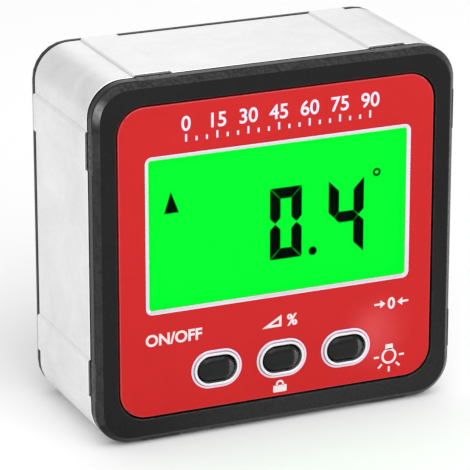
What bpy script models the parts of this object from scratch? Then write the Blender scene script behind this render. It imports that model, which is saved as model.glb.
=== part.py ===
"""A square digital angle gauge.

A short length of square aluminium extrusion is clamped between a moulded front bezel and a
moulded rear cover by four screws. The bezel holds a face plate, a display stack, three push
buttons and the circuit board. The rear cover carries a fluted bay for two AAA cells, closed by
a clip-in door. Two disc magnets sit in the base.

Everything is in metres. X runs to the right, Y from the front to the back and Z upwards.
The origin lies under the middle of the gauge, on the plane of the base lands.
"""

import math

import bmesh
import bpy
from mathutils import Matrix, Vector

for old in list(bpy.data.objects):
    bpy.data.objects.remove(old)
PIECES = bpy.data.collections.new("digital_angle_gauge")
HELPERS = bpy.data.collections.new("cutters_and_guides")
bpy.context.scene.collection.children.link(PIECES)
bpy.context.scene.collection.children.link(HELPERS)

# Gaps between neighbouring pieces
CLEARANCE = 0.0003
SNUG = 0.00015
PLATE_GAP = 0.00025

# Two AAA cells and what makes contact with them
CELL_LENGTH = 0.0445
CELL_DIAMETER = 0.0105
CELL_NUB_LENGTH = 0.0008
CELL_NUB_DIAMETER = 0.0038
CELL_EDGE = 0.0004
SPRING_ROOM = 0.0022
SPRING_WIRE = 0.00045
SPRING_TURNS = 3
CONTACT_THICKNESS = 0.0004
CONTACT_MARGIN = 0.0004
CONTACT_TAB_WIDTH = 0.0020

# Aluminium extrusion
SIDE_WALL = 0.0022
BASE_WALL = 0.0034
CORNER_RADIUS = 0.0052
INNER_CORNER_RADIUS = 0.0024
LAND_WIDTH = 0.0057
LAND_HEIGHT = 0.00035
LAND_FLANK = 0.00015
LAND_INSET = 0.0017
MAGNET_DIAMETER = 0.0080
MAGNET_THICKNESS = 0.0024
MAGNET_PITCH = 0.0160

# Front bezel
SIDE_BORDER = 0.0032
END_BORDER = 0.0034
BEZEL_CHAMFER = 0.00095
FLOOR_THICKNESS = 0.00115
BEZEL_FLANGE = 0.0005
BEZEL_BUMP = 0.0003
OPENING_EDGE = 0.00012
SPIGOT_WALL = 0.0008
SPIGOT_LENGTH = 0.0020
BOSS_DIAMETER = 0.0052
POST_DIAMETER = 0.0032

# Face plate
PLATE_RECESS = 0.00015
PLATE_THICKNESS = 0.0010
PLATE_RADIUS = 0.0040
PLATE_EDGE = 0.00012
WINDOW_HEIGHT = 0.02305
LABEL_MARGIN = 0.00655
BOTTOM_MARGIN = 0.00287
WINDOW_SIDE_MARGIN = 0.00375
WINDOW_SHIFT = 0.0002
WINDOW_BEVEL = 0.00062
WINDOW_BEVEL_DEPTH = 0.00012
WINDOW_RADIUS = 0.0010

# Push buttons, with the raised rim that the plate has round each
BUTTON_HOLE_LENGTH = 0.00615
BUTTON_HOLE_HEIGHT = 0.0041
RIM_WIDTH = 0.0008
RIM_HEIGHT = 0.0003
RIM_ROUND = 0.00022
BUTTON_SPACING = 0.0023
BUTTON_SHIFT = 0.0006
BUTTON_GAP = 0.0002
BUTTON_PROUD = 0.0002
BUTTON_DOME = 0.00045
BUTTON_FLANGE = 0.0007
BUTTON_FLANGE_THICKNESS = 0.0008
BUTTON_STEM_DIAMETER = 0.0024
BUTTON_TRAVEL = 0.00035
SWITCH_SIDE = 0.0060
SWITCH_HEIGHT = 0.0023
PLUNGER_DIAMETER = 0.0026
PLUNGER_PROUD = 0.0007

# Display stack and circuit board, front to back
PANE_THICKNESS = 0.0009
PANE_RECESS = 0.0002
PANE_OVERLAP = 0.0003
LCD_GLASS = 0.0009
LCD_BORDER = 0.0010
LCD_LEDGE = 0.0016
LCD_TO_BOSS = 0.0008
BACKLIGHT_THICKNESS = 0.0026
STRIP_HEIGHT = 0.0012
BOARD_THICKNESS = 0.0012
BOARD_INSET = 0.0010
COMPONENT_ROOM = 0.0021
CONTROLLER_SIDE = 0.0070
CONTROLLER_HEIGHT = 0.0012
CONTROLLER_X = -0.0092
SENSOR_SIDE = 0.0040
SENSOR_HEIGHT = 0.0010

# Rear cover with its battery bay and door
BAY_WALL = 0.00095
DOOR_GAP = 0.0006
DOOR_THICKNESS = 0.0015
COVER_THICKNESS = 0.0018
COVER_CHAMFER = 0.0008
DOOR_LIP = 0.0008
DOOR_CORNER = 0.0012
BAY_FLANGE = 0.0009
BAY_MOUTH_INSET = 0.00115
TONGUE_WIDTH = 0.0040
TONGUE_PITCH = 0.0260
TONGUE_THICKNESS = 0.0008
TONGUE_REACH = 0.0011
LATCH_WIDTH = 0.0070
LATCH_LENGTH = 0.0022
LATCH_THICKNESS = 0.0007
GRIP_LENGTH = 0.0120
GRIP_WIDTH = 0.0007
GRIP_DEPTH = 0.0004
GRIP_PITCH = 0.0016
GRIP_COUNT = 4
SCOOP_DIAMETER = 0.0100
SCOOP_DEPTH = 0.0008

# Screws
SCREW_HEAD_DIAMETER = 0.0042
SCREW_HEAD_HEIGHT = 0.0011
SCREW_SHANK_DIAMETER = 0.0020
SCREW_LENGTH = 0.0085
BOARD_SCREW_HEAD_DIAMETER = 0.0030
BOARD_SCREW_HEAD_HEIGHT = 0.0009
BOARD_SCREW_SHANK_DIAMETER = 0.0014
BOARD_SCREW_LENGTH = 0.0042
CROSS_WIDTH = 0.0005
CROSS_SPAN = 0.0023
CROSS_DEPTH = 0.0006

# Steps of the round stretches, and how meshes are made
CORNER_STEPS = 6
ROUND_STEPS = 24
END_STEPS = 8
TROUGH_STEPS = 12
SCREW_STEPS = 16
PILOT_STEPS = 12
SPRING_STEPS = 12
SMOOTH_ANGLE = math.radians(40)
SHARP_ANGLE = math.radians(30)
FLAT_ANGLE = math.radians(0.5)
CUT_MARGIN = 0.0010
DRAWN_LARGER = 1000.0
WELD_DISTANCE = 0.0000005

# Lengths along X, out from the middle
BAY_HALF_LENGTH = (CELL_LENGTH + SPRING_ROOM + 2 * CONTACT_THICKNESS + 2 * SNUG + CLEARANCE) / 2
BODY_HALF_X = BAY_HALF_LENGTH + BAY_WALL + CLEARANCE + SIDE_WALL
OPENING_HALF_X = BODY_HALF_X - SIDE_BORDER
PLATE_HALF_X = OPENING_HALF_X - PLATE_GAP
WINDOW_HALF_X = PLATE_HALF_X - WINDOW_SIDE_MARGIN
RIM_LENGTH = BUTTON_HOLE_LENGTH + 2 * RIM_WIDTH
BUTTON_PITCH = RIM_LENGTH + BUTTON_SPACING

# Heights along Z, counted from the middle of the front
RIM_TALL = BUTTON_HOLE_HEIGHT + 2 * RIM_WIDTH
WINDOW_TO_BOSS = PANE_OVERLAP + LCD_BORDER + LCD_TO_BOSS
BOSS_TO_OUTSIDE = CLEARANCE + SPIGOT_WALL + CLEARANCE + SIDE_WALL
HEADING_MARGIN = WINDOW_TO_BOSS + BOSS_DIAMETER + BOSS_TO_OUTSIDE - END_BORDER - PLATE_GAP
PLATE_HALF_Z = (HEADING_MARGIN + WINDOW_HEIGHT + LABEL_MARGIN + RIM_TALL + BOTTOM_MARGIN) / 2
OPENING_HALF_Z = PLATE_HALF_Z + PLATE_GAP
BODY_HALF_Z = OPENING_HALF_Z + END_BORDER
WINDOW_HALF_Z = WINDOW_HEIGHT / 2
WINDOW_Z = PLATE_HALF_Z - HEADING_MARGIN - WINDOW_HALF_Z
BUTTON_Z = -PLATE_HALF_Z + BOTTOM_MARGIN + RIM_TALL / 2
INNER_HALF_X = BODY_HALF_X - SIDE_WALL
INNER_HALF_Z = BODY_HALF_Z - (SIDE_WALL + BASE_WALL) / 2
INNER_Z = (BASE_WALL - SIDE_WALL) / 2
CELL_Z = CELL_DIAMETER / 2 + SNUG
BAY_RADIUS = CELL_DIAMETER / 2 + CLEARANCE
BAY_HALF_HEIGHT = CELL_Z + BAY_RADIUS
CONTACT_HALF = (BAY_RADIUS - CONTACT_MARGIN) / math.sqrt(2)
BODY_Z = LAND_HEIGHT + BODY_HALF_Z

# Depths along Y, counted from the front face of the bezel
RIM_Y = PLATE_RECESS - RIM_HEIGHT
BUTTON_Y = RIM_Y - BUTTON_PROUD
PLATE_BACK = PLATE_RECESS + PLATE_THICKNESS
FLOOR_Y = PLATE_BACK + CLEARANCE
FLOOR_BACK = FLOOR_Y + FLOOR_THICKNESS
FRAME_Y = FLOOR_BACK + CLEARANCE
LCD_Y = FLOOR_BACK + CLEARANCE
LCD_BACK = LCD_Y + 2 * LCD_GLASS
BACKLIGHT_Y = LCD_BACK + CLEARANCE
BACKLIGHT_BACK = BACKLIGHT_Y + BACKLIGHT_THICKNESS
BOARD_Y = BACKLIGHT_BACK + CLEARANCE
BOARD_BACK = BOARD_Y + BOARD_THICKNESS
SWITCH_BACK = BOARD_Y - CLEARANCE
SWITCH_FRONT = SWITCH_BACK - SWITCH_HEIGHT
STEM_BACK = SWITCH_FRONT - PLUNGER_PROUD - CLEARANCE
BAY_Y = BOARD_BACK + COMPONENT_ROOM
CELL_Y = BAY_Y + BAY_WALL + BAY_RADIUS
DOOR_Y = CELL_Y + CELL_DIAMETER / 2 + DOOR_GAP
BACK_Y = DOOR_Y + DOOR_THICKNESS
COVER_Y = BACK_Y - COVER_THICKNESS
FRAME_BACK = COVER_Y - CLEARANCE
MAGNET_Y = (FRAME_Y + FRAME_BACK) / 2
MIDDLE_Y = (BUTTON_Y + BACK_Y) / 2

# Display stack
WINDOW_OPEN_X = WINDOW_HALF_X - WINDOW_BEVEL
WINDOW_OPEN_Z = WINDOW_HALF_Z - WINDOW_BEVEL
PANE_HALF_X = WINDOW_HALF_X
PANE_HALF_Z = WINDOW_HALF_Z
PANE_FRONT = PLATE_RECESS + PANE_RECESS
FLOOR_OPEN_X = PANE_HALF_X + PANE_OVERLAP
FLOOR_OPEN_Z = PANE_HALF_Z + PANE_OVERLAP
LCD_HALF_X = FLOOR_OPEN_X + LCD_BORDER
LCD_TOP = WINDOW_Z + FLOOR_OPEN_Z + LCD_BORDER
LCD_BOTTOM = WINDOW_Z - FLOOR_OPEN_Z - LCD_BORDER
LEDGE_TOP = LCD_BOTTOM + LCD_LEDGE

# Screw places
BOSS_RADIUS = BOSS_DIAMETER / 2
SPIGOT_HALF_X = INNER_HALF_X - CLEARANCE
SPIGOT_HALF_Z = INNER_HALF_Z - CLEARANCE
SPIGOT_RADIUS = INNER_CORNER_RADIUS - CLEARANCE
BOSS_X = SPIGOT_HALF_X - SPIGOT_WALL - CLEARANCE - BOSS_RADIUS
BOSS_HALF_Z = SPIGOT_HALF_Z - SPIGOT_WALL - CLEARANCE - BOSS_RADIUS
BOSS_PLACES = [(sx * BOSS_X, INNER_Z + sz * BOSS_HALF_Z) for sx in (-1, 1) for sz in (-1, 1)]
SWITCH_TOP = BUTTON_Z + SWITCH_SIDE / 2
POST_LOW_Z = (LCD_BOTTOM + SWITCH_TOP) / 2
POST_HIGH_Z = (LCD_TOP + INNER_Z + SPIGOT_HALF_Z - SPIGOT_WALL) / 2
POST_X = BOSS_X - BOSS_RADIUS
POST_PLACES = [(-POST_X, POST_LOW_Z), (POST_X, POST_LOW_Z), (0.0, POST_HIGH_Z)]

# Door and its mouth in the cover
MOUTH_HALF_X = BAY_HALF_LENGTH - BAY_MOUTH_INSET
DOOR_HALF_X = MOUTH_HALF_X + DOOR_LIP
DOOR_HALF_Z = BAY_HALF_HEIGHT + DOOR_LIP
RECESS_HALF_X = DOOR_HALF_X + CLEARANCE
RECESS_HALF_Z = DOOR_HALF_Z + CLEARANCE
HINGE_Z = -DOOR_HALF_Z - CLEARANCE / 2
TONGUE_PLACES = (-TONGUE_PITCH / 2, TONGUE_PITCH / 2)


def at(x, y, z):
    """World place of a point counted from the middle of the front."""
    return (x, y - MIDDLE_Y, z + BODY_Z)


def material(name, colour, roughness, metallic=0.0, transmission=0.0):
    """A plain Principled material."""
    made = bpy.data.materials.new(name)
    made.use_nodes = True
    made.diffuse_color = (*colour, 1.0)
    shader = made.node_tree.nodes["Principled BSDF"]
    shader.inputs["Base Color"].default_value = (*colour, 1.0)
    shader.inputs["Roughness"].default_value = roughness
    shader.inputs["Metallic"].default_value = metallic
    shader.inputs["Transmission Weight"].default_value = transmission
    return made


def arc(centre, radius, start, end, steps):
    """Points of an arc from one angle to another, in degrees."""
    points = []
    for step in range(steps + 1):
        angle = math.radians(start + (end - start) * step / steps)
        points.append((centre[0] + radius * math.cos(angle), centre[1] + radius * math.sin(angle)))
    return points


def rounded_rectangle(half_x, half_z, radius, centre=(0.0, 0.0)):
    """Rectangle outline with four round corners."""
    points = []
    for quarter, (sx, sz) in enumerate(((1, 1), (-1, 1), (-1, -1), (1, -1))):
        corner = (centre[0] + sx * (half_x - radius), centre[1] + sz * (half_z - radius))
        points += arc(corner, radius, 90 * quarter, 90 * quarter + 90, CORNER_STEPS)
    return points


def circle(radius, centre=(0.0, 0.0), steps=ROUND_STEPS):
    """Round outline."""
    return arc(centre, radius, 0, 360 - 360 / steps, steps - 1)


def stadium(length, height, centre=(0.0, 0.0)):
    """Outline with two straight sides and two half-round ends."""
    radius = height / 2
    reach = length / 2 - radius
    right = arc((centre[0] + reach, centre[1]), radius, -90, 90, END_STEPS)
    left = arc((centre[0] - reach, centre[1]), radius, 90, 270, END_STEPS)
    return right + left


def landed_outline():
    """Outline of the body with two raised lands on each of its four sides."""
    points = []
    sides = ((BODY_HALF_X, BODY_HALF_Z), (BODY_HALF_Z, BODY_HALF_X)) * 2
    lands = land_outlines(LAND_HEIGHT, SIDE_WALL)
    for quarter, (out, along) in enumerate(sides):
        straight = along - CORNER_RADIUS
        points += lands[2 * quarter][1:-1] + lands[2 * quarter + 1][1:-1]
        turn = Matrix.Rotation(math.radians(90 * quarter), 2)
        corner = arc((out - CORNER_RADIUS, straight), CORNER_RADIUS, 0, 90, CORNER_STEPS)
        points += [tuple(turn @ Vector(point)) for point in corner]
    return points


def land_outlines(height, root):
    """One outline for each land, from a depth inside the body to this height above it."""
    loops = []
    sides = ((BODY_HALF_X, BODY_HALF_Z), (BODY_HALF_Z, BODY_HALF_X)) * 2
    foot = LAND_WIDTH / 2
    top = foot - LAND_FLANK
    for quarter, (out, along) in enumerate(sides):
        place = along - CORNER_RADIUS - LAND_INSET - foot
        turn = Matrix.Rotation(math.radians(90 * quarter), 2)
        for middle in (-place, place):
            side = [(out - root, middle - foot), (out, middle - foot), (out + height, middle - top)]
            side += [(out + height, middle + top), (out, middle + foot), (out - root, middle + foot)]
            loops.append([tuple(turn @ Vector(point)) for point in side])
    return loops


def place_in(group, name, mesh, location, rotation=(0.0, 0.0, 0.0)):
    """A new object in a collection."""
    made = bpy.data.objects.new(name, mesh)
    made.location = location
    made.rotation_euler = rotation
    group.objects.link(made)
    return made


def evaluated_mesh(source):
    """The mesh of an object with its modifiers worked in."""
    graph = bpy.context.evaluated_depsgraph_get()
    return bpy.data.meshes.new_from_object(source.evaluated_get(graph))


def weld(mesh, distance):
    """Joins a curve's caps to its sides, turns every face outwards and clears the caps' inner edges."""
    work = bmesh.new()
    work.from_mesh(mesh)
    bmesh.ops.remove_doubles(work, verts=work.verts, dist=distance)
    bmesh.ops.recalc_face_normals(work, faces=work.faces)
    bmesh.ops.dissolve_limit(work, angle_limit=FLAT_ANGLE, verts=work.verts, edges=work.edges)
    work.to_mesh(mesh)
    work.free()


def extruded_mesh(name, loops, front, back):
    """Mesh of flat outlines in X and Z, extruded along Y from front to back.

    The curve is drawn a thousand times larger, because outlines this fine don't fill cleanly.
    """
    curve = bpy.data.curves.new(name, "CURVE")
    curve.dimensions = "2D"
    curve.fill_mode = "BOTH"
    curve.extrude = DRAWN_LARGER * (back - front) / 2
    for loop in loops:
        spline = curve.splines.new("POLY")
        spline.points.add(len(loop) - 1)
        for point, (x, z) in zip(spline.points, loop):
            point.co = (round(DRAWN_LARGER * x, 5), round(DRAWN_LARGER * z, 5), 0.0, 1.0)
        spline.use_cyclic_u = True
    source = place_in(HELPERS, name, curve, (0.0, 0.0, 0.0))
    mesh = evaluated_mesh(source)
    bpy.data.objects.remove(source)
    weld(mesh, DRAWN_LARGER * WELD_DISTANCE)
    mesh.transform(Matrix.Scale(1 / DRAWN_LARGER, 4) @ Matrix.Rotation(math.pi / 2, 4, "X"))
    mesh.transform(Matrix.Translation((0.0, (front + back) / 2, 0.0)))
    return mesh


def extruded_along_x(name, outline, low, high):
    """Mesh of one outline of (depth, height) points, extruded along X between two places."""
    mesh = extruded_mesh(name, [outline], -high, -low)
    mesh.transform(Matrix.Rotation(math.pi / 2, 4, "Z"))
    return mesh


def landed_prism(name, front, back):
    """Solid of the body's outline with its lands.

    Its many points in line make a curve fill with flat triangles, so it is one face, extruded.
    """
    work = bmesh.new()
    face = work.faces.new([work.verts.new((x, front, z)) for x, z in landed_outline()])
    grown = bmesh.ops.extrude_face_region(work, geom=[face])
    moved = [item for item in grown["geom"] if isinstance(item, bmesh.types.BMVert)]
    bmesh.ops.translate(work, vec=(0.0, back - front, 0.0), verts=moved)
    bmesh.ops.recalc_face_normals(work, faces=work.faces)
    mesh = bpy.data.meshes.new(name)
    work.to_mesh(mesh)
    work.free()
    return mesh


def bevel_edges(mesh, width, segments, chosen):
    """Bevels the edges whose two ends both pass the test."""
    work = bmesh.new()
    work.from_mesh(mesh)
    edges = []
    for edge in work.edges:
        sharp = edge.is_manifold and edge.calc_face_angle() > SHARP_ANGLE
        if sharp and all(chosen(vert.co) for vert in edge.verts):
            edges.append(edge)
    bmesh.ops.bevel(work, geom=edges, offset=width, segments=segments, profile=0.5, affect="EDGES")
    work.to_mesh(mesh)
    work.free()


def flare_mesh(half_x, half_z, radius, centre, mouth, flare, depth):
    """Cutter that widens a rectangular opening towards its mouth at the front.

    It is drawn at 45 degrees and then flattened to its depth. It narrows on past the opening's
    own outline, so that its slope crosses the wall cleanly.
    """
    reach = flare + SNUG
    wide = rounded_rectangle(half_x + flare, half_z + flare, radius + flare, centre)
    mesh = extruded_mesh("flare", [wide], -CUT_MARGIN, reach)
    bevel_edges(mesh, reach, 1, lambda co: co.y > 0)
    mesh.transform(Matrix.Scale(depth / flare, 4, (0.0, 1.0, 0.0)))
    mesh.transform(Matrix.Translation((0.0, mouth, 0.0)))
    return mesh


def combine(target, operation, mesh, name):
    """A Boolean on a piece, with a mesh given in the piece's own place and turn."""
    helper = place_in(HELPERS, name, mesh, target.location, target.rotation_euler)
    helper.hide_render = True
    helper.display_type = "WIRE"
    step = target.modifiers.new(name, "BOOLEAN")
    step.operation = operation
    step.solver = "EXACT"
    step.object = helper


def finish(piece, look):
    """Gives a piece its material and its shading."""
    piece.data.materials.clear()
    piece.data.materials.append(look)
    piece.data.shade_smooth()
    piece.data.set_sharp_from_angle(angle=SMOOTH_ANGLE)


def baked(piece):
    """Works a piece's Booleans into its own mesh, so that copies can share it."""
    bpy.context.view_layer.update()
    piece.data = evaluated_mesh(piece)
    piece.modifiers.clear()
    return piece.data


def turned_mesh(name, profile, steps=ROUND_STEPS):
    """A turned solid about Y, from (radius, depth) points given front to back."""
    mesh = bpy.data.meshes.new(name)
    points = [(radius, 0.0, -depth) for radius, depth in profile]
    mesh.from_pydata(points, [(i, i + 1) for i in range(len(points) - 1)], [])
    source = place_in(HELPERS, name, mesh, (0.0, 0.0, 0.0))
    screw = source.modifiers.new("Turn", "SCREW")
    screw.steps = steps
    screw.render_steps = steps
    screw.use_merge_vertices = True
    screw.merge_threshold = 1e-6
    made = evaluated_mesh(source)
    bpy.data.objects.remove(source)
    made.transform(Matrix.Rotation(math.pi / 2, 4, "X"))
    weld(made, WELD_DISTANCE)
    return made


def box_mesh(name, low, high):
    """A box between two corners."""
    mesh = bpy.data.meshes.new(name)
    work = bmesh.new()
    bmesh.ops.create_cube(work, size=1.0)
    size = [b - a for a, b in zip(low, high)]
    middle = [(a + b) / 2 for a, b in zip(low, high)]
    bmesh.ops.scale(work, vec=size, verts=work.verts)
    bmesh.ops.translate(work, vec=middle, verts=work.verts)
    work.to_mesh(mesh)
    work.free()
    return mesh


def joined_mesh(name, meshes):
    """Several separate closed meshes as one."""
    work = bmesh.new()
    for mesh in meshes:
        work.from_mesh(mesh)
    made = bpy.data.meshes.new(name)
    work.to_mesh(made)
    work.free()
    return made


def make_frame(look):
    """Square extrusion with two lands on every side and magnet pockets in its thicker base."""
    mesh = landed_prism("frame_extrusion", FRAME_Y, FRAME_BACK)
    frame = place_in(PIECES, "frame_extrusion", mesh, at(0, 0, 0))
    inner = rounded_rectangle(INNER_HALF_X, INNER_HALF_Z, INNER_CORNER_RADIUS, (0.0, INNER_Z))
    bore = extruded_mesh("frame_bore", [inner], FRAME_Y - CUT_MARGIN, FRAME_BACK + CUT_MARGIN)
    combine(frame, "DIFFERENCE", bore, "frame_bore")
    pockets = []
    depth = MAGNET_THICKNESS + SNUG
    radius = MAGNET_DIAMETER / 2 + SNUG
    profile = [(0, -CUT_MARGIN), (radius, -CUT_MARGIN), (radius, depth), (0, depth)]
    for x in (-MAGNET_PITCH / 2, MAGNET_PITCH / 2):
        pocket = turned_mesh("pocket", profile)
        pocket.transform(Matrix.Rotation(math.pi / 2, 4, "X"))
        pocket.transform(Matrix.Translation((x, MAGNET_Y, -BODY_HALF_Z)))
        pockets.append(pocket)
    combine(frame, "DIFFERENCE", joined_mesh("magnet_pockets", pockets), "magnet_pockets")
    finish(frame, look)


def make_magnets(look):
    """Two nickel-plated discs, flush with the flat between the base lands."""
    radius = MAGNET_DIAMETER / 2
    profile = [(0, 0), (radius - SNUG, 0), (radius, SNUG)]
    profile += [(radius, MAGNET_THICKNESS - SNUG), (radius - SNUG, MAGNET_THICKNESS), (0, MAGNET_THICKNESS)]
    mesh = turned_mesh("magnet", profile)
    for name, x in (("magnet_left", -MAGNET_PITCH / 2), ("magnet_right", MAGNET_PITCH / 2)):
        magnet = place_in(PIECES, name, mesh, at(x, MAGNET_Y, -BODY_HALF_Z), (math.pi / 2, 0, 0))
        finish(magnet, look)


def make_bezel(look):
    """Moulded front: chamfered border, pocket for the plate, floor, spigot, bosses and posts."""
    border = rounded_rectangle(BODY_HALF_X, BODY_HALF_Z, CORNER_RADIUS)
    mesh = extruded_mesh("front_bezel", [border], 0.0, FLOOR_BACK)
    bevel_edges(mesh, BEZEL_CHAMFER, 1, lambda co: co.y < SNUG)
    bezel = place_in(PIECES, "front_bezel", mesh, at(0, 0, 0))

    bumps = land_outlines(BEZEL_BUMP, SIDE_BORDER / 2)
    bump_back = FLOOR_BACK - SNUG
    bump_mesh = extruded_mesh("bumps", bumps, bump_back - BEZEL_FLANGE, bump_back)
    combine(bezel, "UNION", bump_mesh, "land_bumps")
    outer = rounded_rectangle(SPIGOT_HALF_X, SPIGOT_HALF_Z, SPIGOT_RADIUS, (0.0, INNER_Z))
    spigot_inner_x = SPIGOT_HALF_X - SPIGOT_WALL
    spigot_inner_z = SPIGOT_HALF_Z - SPIGOT_WALL
    inner = rounded_rectangle(spigot_inner_x, spigot_inner_z, SPIGOT_RADIUS - SPIGOT_WALL, (0.0, INNER_Z))
    root = FLOOR_BACK - FLOOR_THICKNESS / 2
    combine(bezel, "UNION", extruded_mesh("spigot", [outer, inner], root, FRAME_Y + SPIGOT_LENGTH), "spigot")
    bosses = [circle(BOSS_RADIUS, place) for place in BOSS_PLACES]
    combine(bezel, "UNION", extruded_mesh("bosses", bosses, root, FRAME_BACK), "bosses")
    posts = [circle(POST_DIAMETER / 2, place) for place in POST_PLACES]
    combine(bezel, "UNION", extruded_mesh("posts", posts, root, BOARD_Y - CLEARANCE), "posts")

    radius = PLATE_RADIUS + PLATE_GAP
    pocket = rounded_rectangle(OPENING_HALF_X, OPENING_HALF_Z, radius)
    pocket_cut = extruded_mesh("pocket", [pocket], -CUT_MARGIN, FLOOR_Y)
    combine(bezel, "DIFFERENCE", pocket_cut, "plate_pocket")
    middle = (0.0, 0.0)
    flare = flare_mesh(OPENING_HALF_X, OPENING_HALF_Z, radius, middle, 0.0, OPENING_EDGE, OPENING_EDGE)
    combine(bezel, "DIFFERENCE", flare, "opening_edge")
    openings = [rounded_rectangle(FLOOR_OPEN_X, FLOOR_OPEN_Z, WINDOW_RADIUS, (WINDOW_SHIFT, WINDOW_Z))]
    for x in button_places():
        openings.append(stadium(BUTTON_HOLE_LENGTH, BUTTON_HOLE_HEIGHT, (x, BUTTON_Z)))
    through = extruded_mesh("openings", openings, FLOOR_Y - CLEARANCE, FLOOR_BACK + CUT_MARGIN)
    combine(bezel, "DIFFERENCE", through, "floor_openings")
    pilot = SCREW_SHANK_DIAMETER / 2 + SNUG
    depth = BACK_Y - SCREW_LENGTH - CUT_MARGIN
    rounds = [circle(pilot, place, PILOT_STEPS) for place in BOSS_PLACES]
    holes = extruded_mesh("boss_holes", rounds, depth, BACK_Y)
    combine(bezel, "DIFFERENCE", holes, "boss_holes")
    pilot = BOARD_SCREW_SHANK_DIAMETER / 2 + SNUG
    depth = BOARD_BACK - BOARD_SCREW_LENGTH
    rounds = [circle(pilot, place, PILOT_STEPS) for place in POST_PLACES]
    holes = extruded_mesh("post_holes", rounds, depth, BOARD_BACK)
    combine(bezel, "DIFFERENCE", holes, "post_holes")
    finish(bezel, look)


def button_places():
    """The three button centres along X."""
    return [BUTTON_SHIFT + i * BUTTON_PITCH for i in (-1, 0, 1)]


def make_plate(look):
    """Face plate with a shallow bright-cut window bevel and a raised rim round each button hole."""
    outline = rounded_rectangle(PLATE_HALF_X, PLATE_HALF_Z, PLATE_RADIUS)
    mesh = extruded_mesh("face_plate", [outline], PLATE_RECESS, PLATE_BACK)
    bevel_edges(mesh, PLATE_EDGE, 1, lambda co: co.y < PLATE_RECESS + PLATE_EDGE)
    plate = place_in(PIECES, "face_plate", mesh, at(0, 0, 0))

    centre = (WINDOW_SHIFT, WINDOW_Z)
    radius = WINDOW_RADIUS - WINDOW_BEVEL
    window = rounded_rectangle(WINDOW_OPEN_X, WINDOW_OPEN_Z, radius, centre)
    window_cut = extruded_mesh("window", [window], RIM_Y - CUT_MARGIN, PLATE_BACK + CUT_MARGIN)
    combine(plate, "DIFFERENCE", window_cut, "window_opening")
    sizes = (WINDOW_OPEN_X, WINDOW_OPEN_Z, radius)
    flare = flare_mesh(*sizes, centre, PLATE_RECESS, WINDOW_BEVEL, WINDOW_BEVEL_DEPTH)
    combine(plate, "DIFFERENCE", flare, "window_bevel")

    rims = []
    holes = []
    for x in button_places():
        outer = stadium(RIM_LENGTH, RIM_TALL, (x, BUTTON_Z))
        rims.append(outer)
        holes.append(stadium(BUTTON_HOLE_LENGTH, BUTTON_HOLE_HEIGHT, (x, BUTTON_Z)))
    rim_mesh = extruded_mesh("rims", rims, RIM_Y, PLATE_BACK - PLATE_THICKNESS / 2)
    bevel_edges(rim_mesh, RIM_ROUND, 2, lambda co: co.y < PLATE_RECESS)
    combine(plate, "UNION", rim_mesh, "button_rims")
    through = extruded_mesh("holes", holes, RIM_Y - CUT_MARGIN, PLATE_BACK + CUT_MARGIN)
    combine(plate, "DIFFERENCE", through, "button_holes")
    finish(plate, look)


def make_buttons(look, dark):
    """Three push buttons held behind the bezel floor, and the switches that they press."""
    cap = extruded_mesh(
        "button_cap",
        [stadium(BUTTON_HOLE_LENGTH - 2 * BUTTON_GAP, BUTTON_HOLE_HEIGHT - 2 * BUTTON_GAP)],
        BUTTON_Y,
        FRAME_Y + BUTTON_FLANGE_THICKNESS / 2,
    )
    bevel_edges(cap, BUTTON_DOME, 3, lambda co: co.y < BUTTON_Y + BUTTON_DOME)
    first = place_in(PIECES, "button_power", cap, at(button_places()[0], 0, BUTTON_Z))
    flange_back = FRAME_Y + BUTTON_FLANGE_THICKNESS
    flange = stadium(BUTTON_HOLE_LENGTH + 2 * BUTTON_FLANGE, BUTTON_HOLE_HEIGHT + 2 * BUTTON_FLANGE)
    combine(first, "UNION", extruded_mesh("button_flange", [flange], FRAME_Y, flange_back), "button_flange")
    stem_front = flange_back - BUTTON_FLANGE_THICKNESS / 2
    stem = extruded_mesh("button_stem", [circle(BUTTON_STEM_DIAMETER / 2)], stem_front, STEM_BACK)
    combine(first, "UNION", stem, "button_stem")
    mesh = baked(first)

    half = SWITCH_SIDE / 2
    body = box_mesh("switch", (-half, SWITCH_FRONT, -half), (half, SWITCH_BACK, half))
    bevel_edges(body, SNUG, 1, lambda co: co.y < SWITCH_BACK - SNUG)
    bore_floor = SWITCH_BACK - CLEARANCE - SNUG
    bore = PLUNGER_DIAMETER / 2 + SNUG
    plunger_front = SWITCH_FRONT - PLUNGER_PROUD
    plunger_back = bore_floor - BUTTON_TRAVEL - SNUG
    plunger_mesh = extruded_mesh("plunger", [circle(PLUNGER_DIAMETER / 2)], plunger_front, plunger_back)
    for use, x in zip(("power", "hold", "zero"), button_places()):
        place = at(x, 0, BUTTON_Z)
        button = first if use == "power" else place_in(PIECES, "button_" + use, mesh, place)
        finish(button, look)
        switch = place_in(PIECES, "switch_" + use, body.copy(), place)
        hole = extruded_mesh("switch_bore", [circle(bore)], SWITCH_FRONT - CUT_MARGIN, bore_floor)
        combine(switch, "DIFFERENCE", hole, "switch_bore_" + use)
        finish(switch, dark)
        finish(place_in(PIECES, "plunger_" + use, plunger_mesh, place), look)


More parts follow.
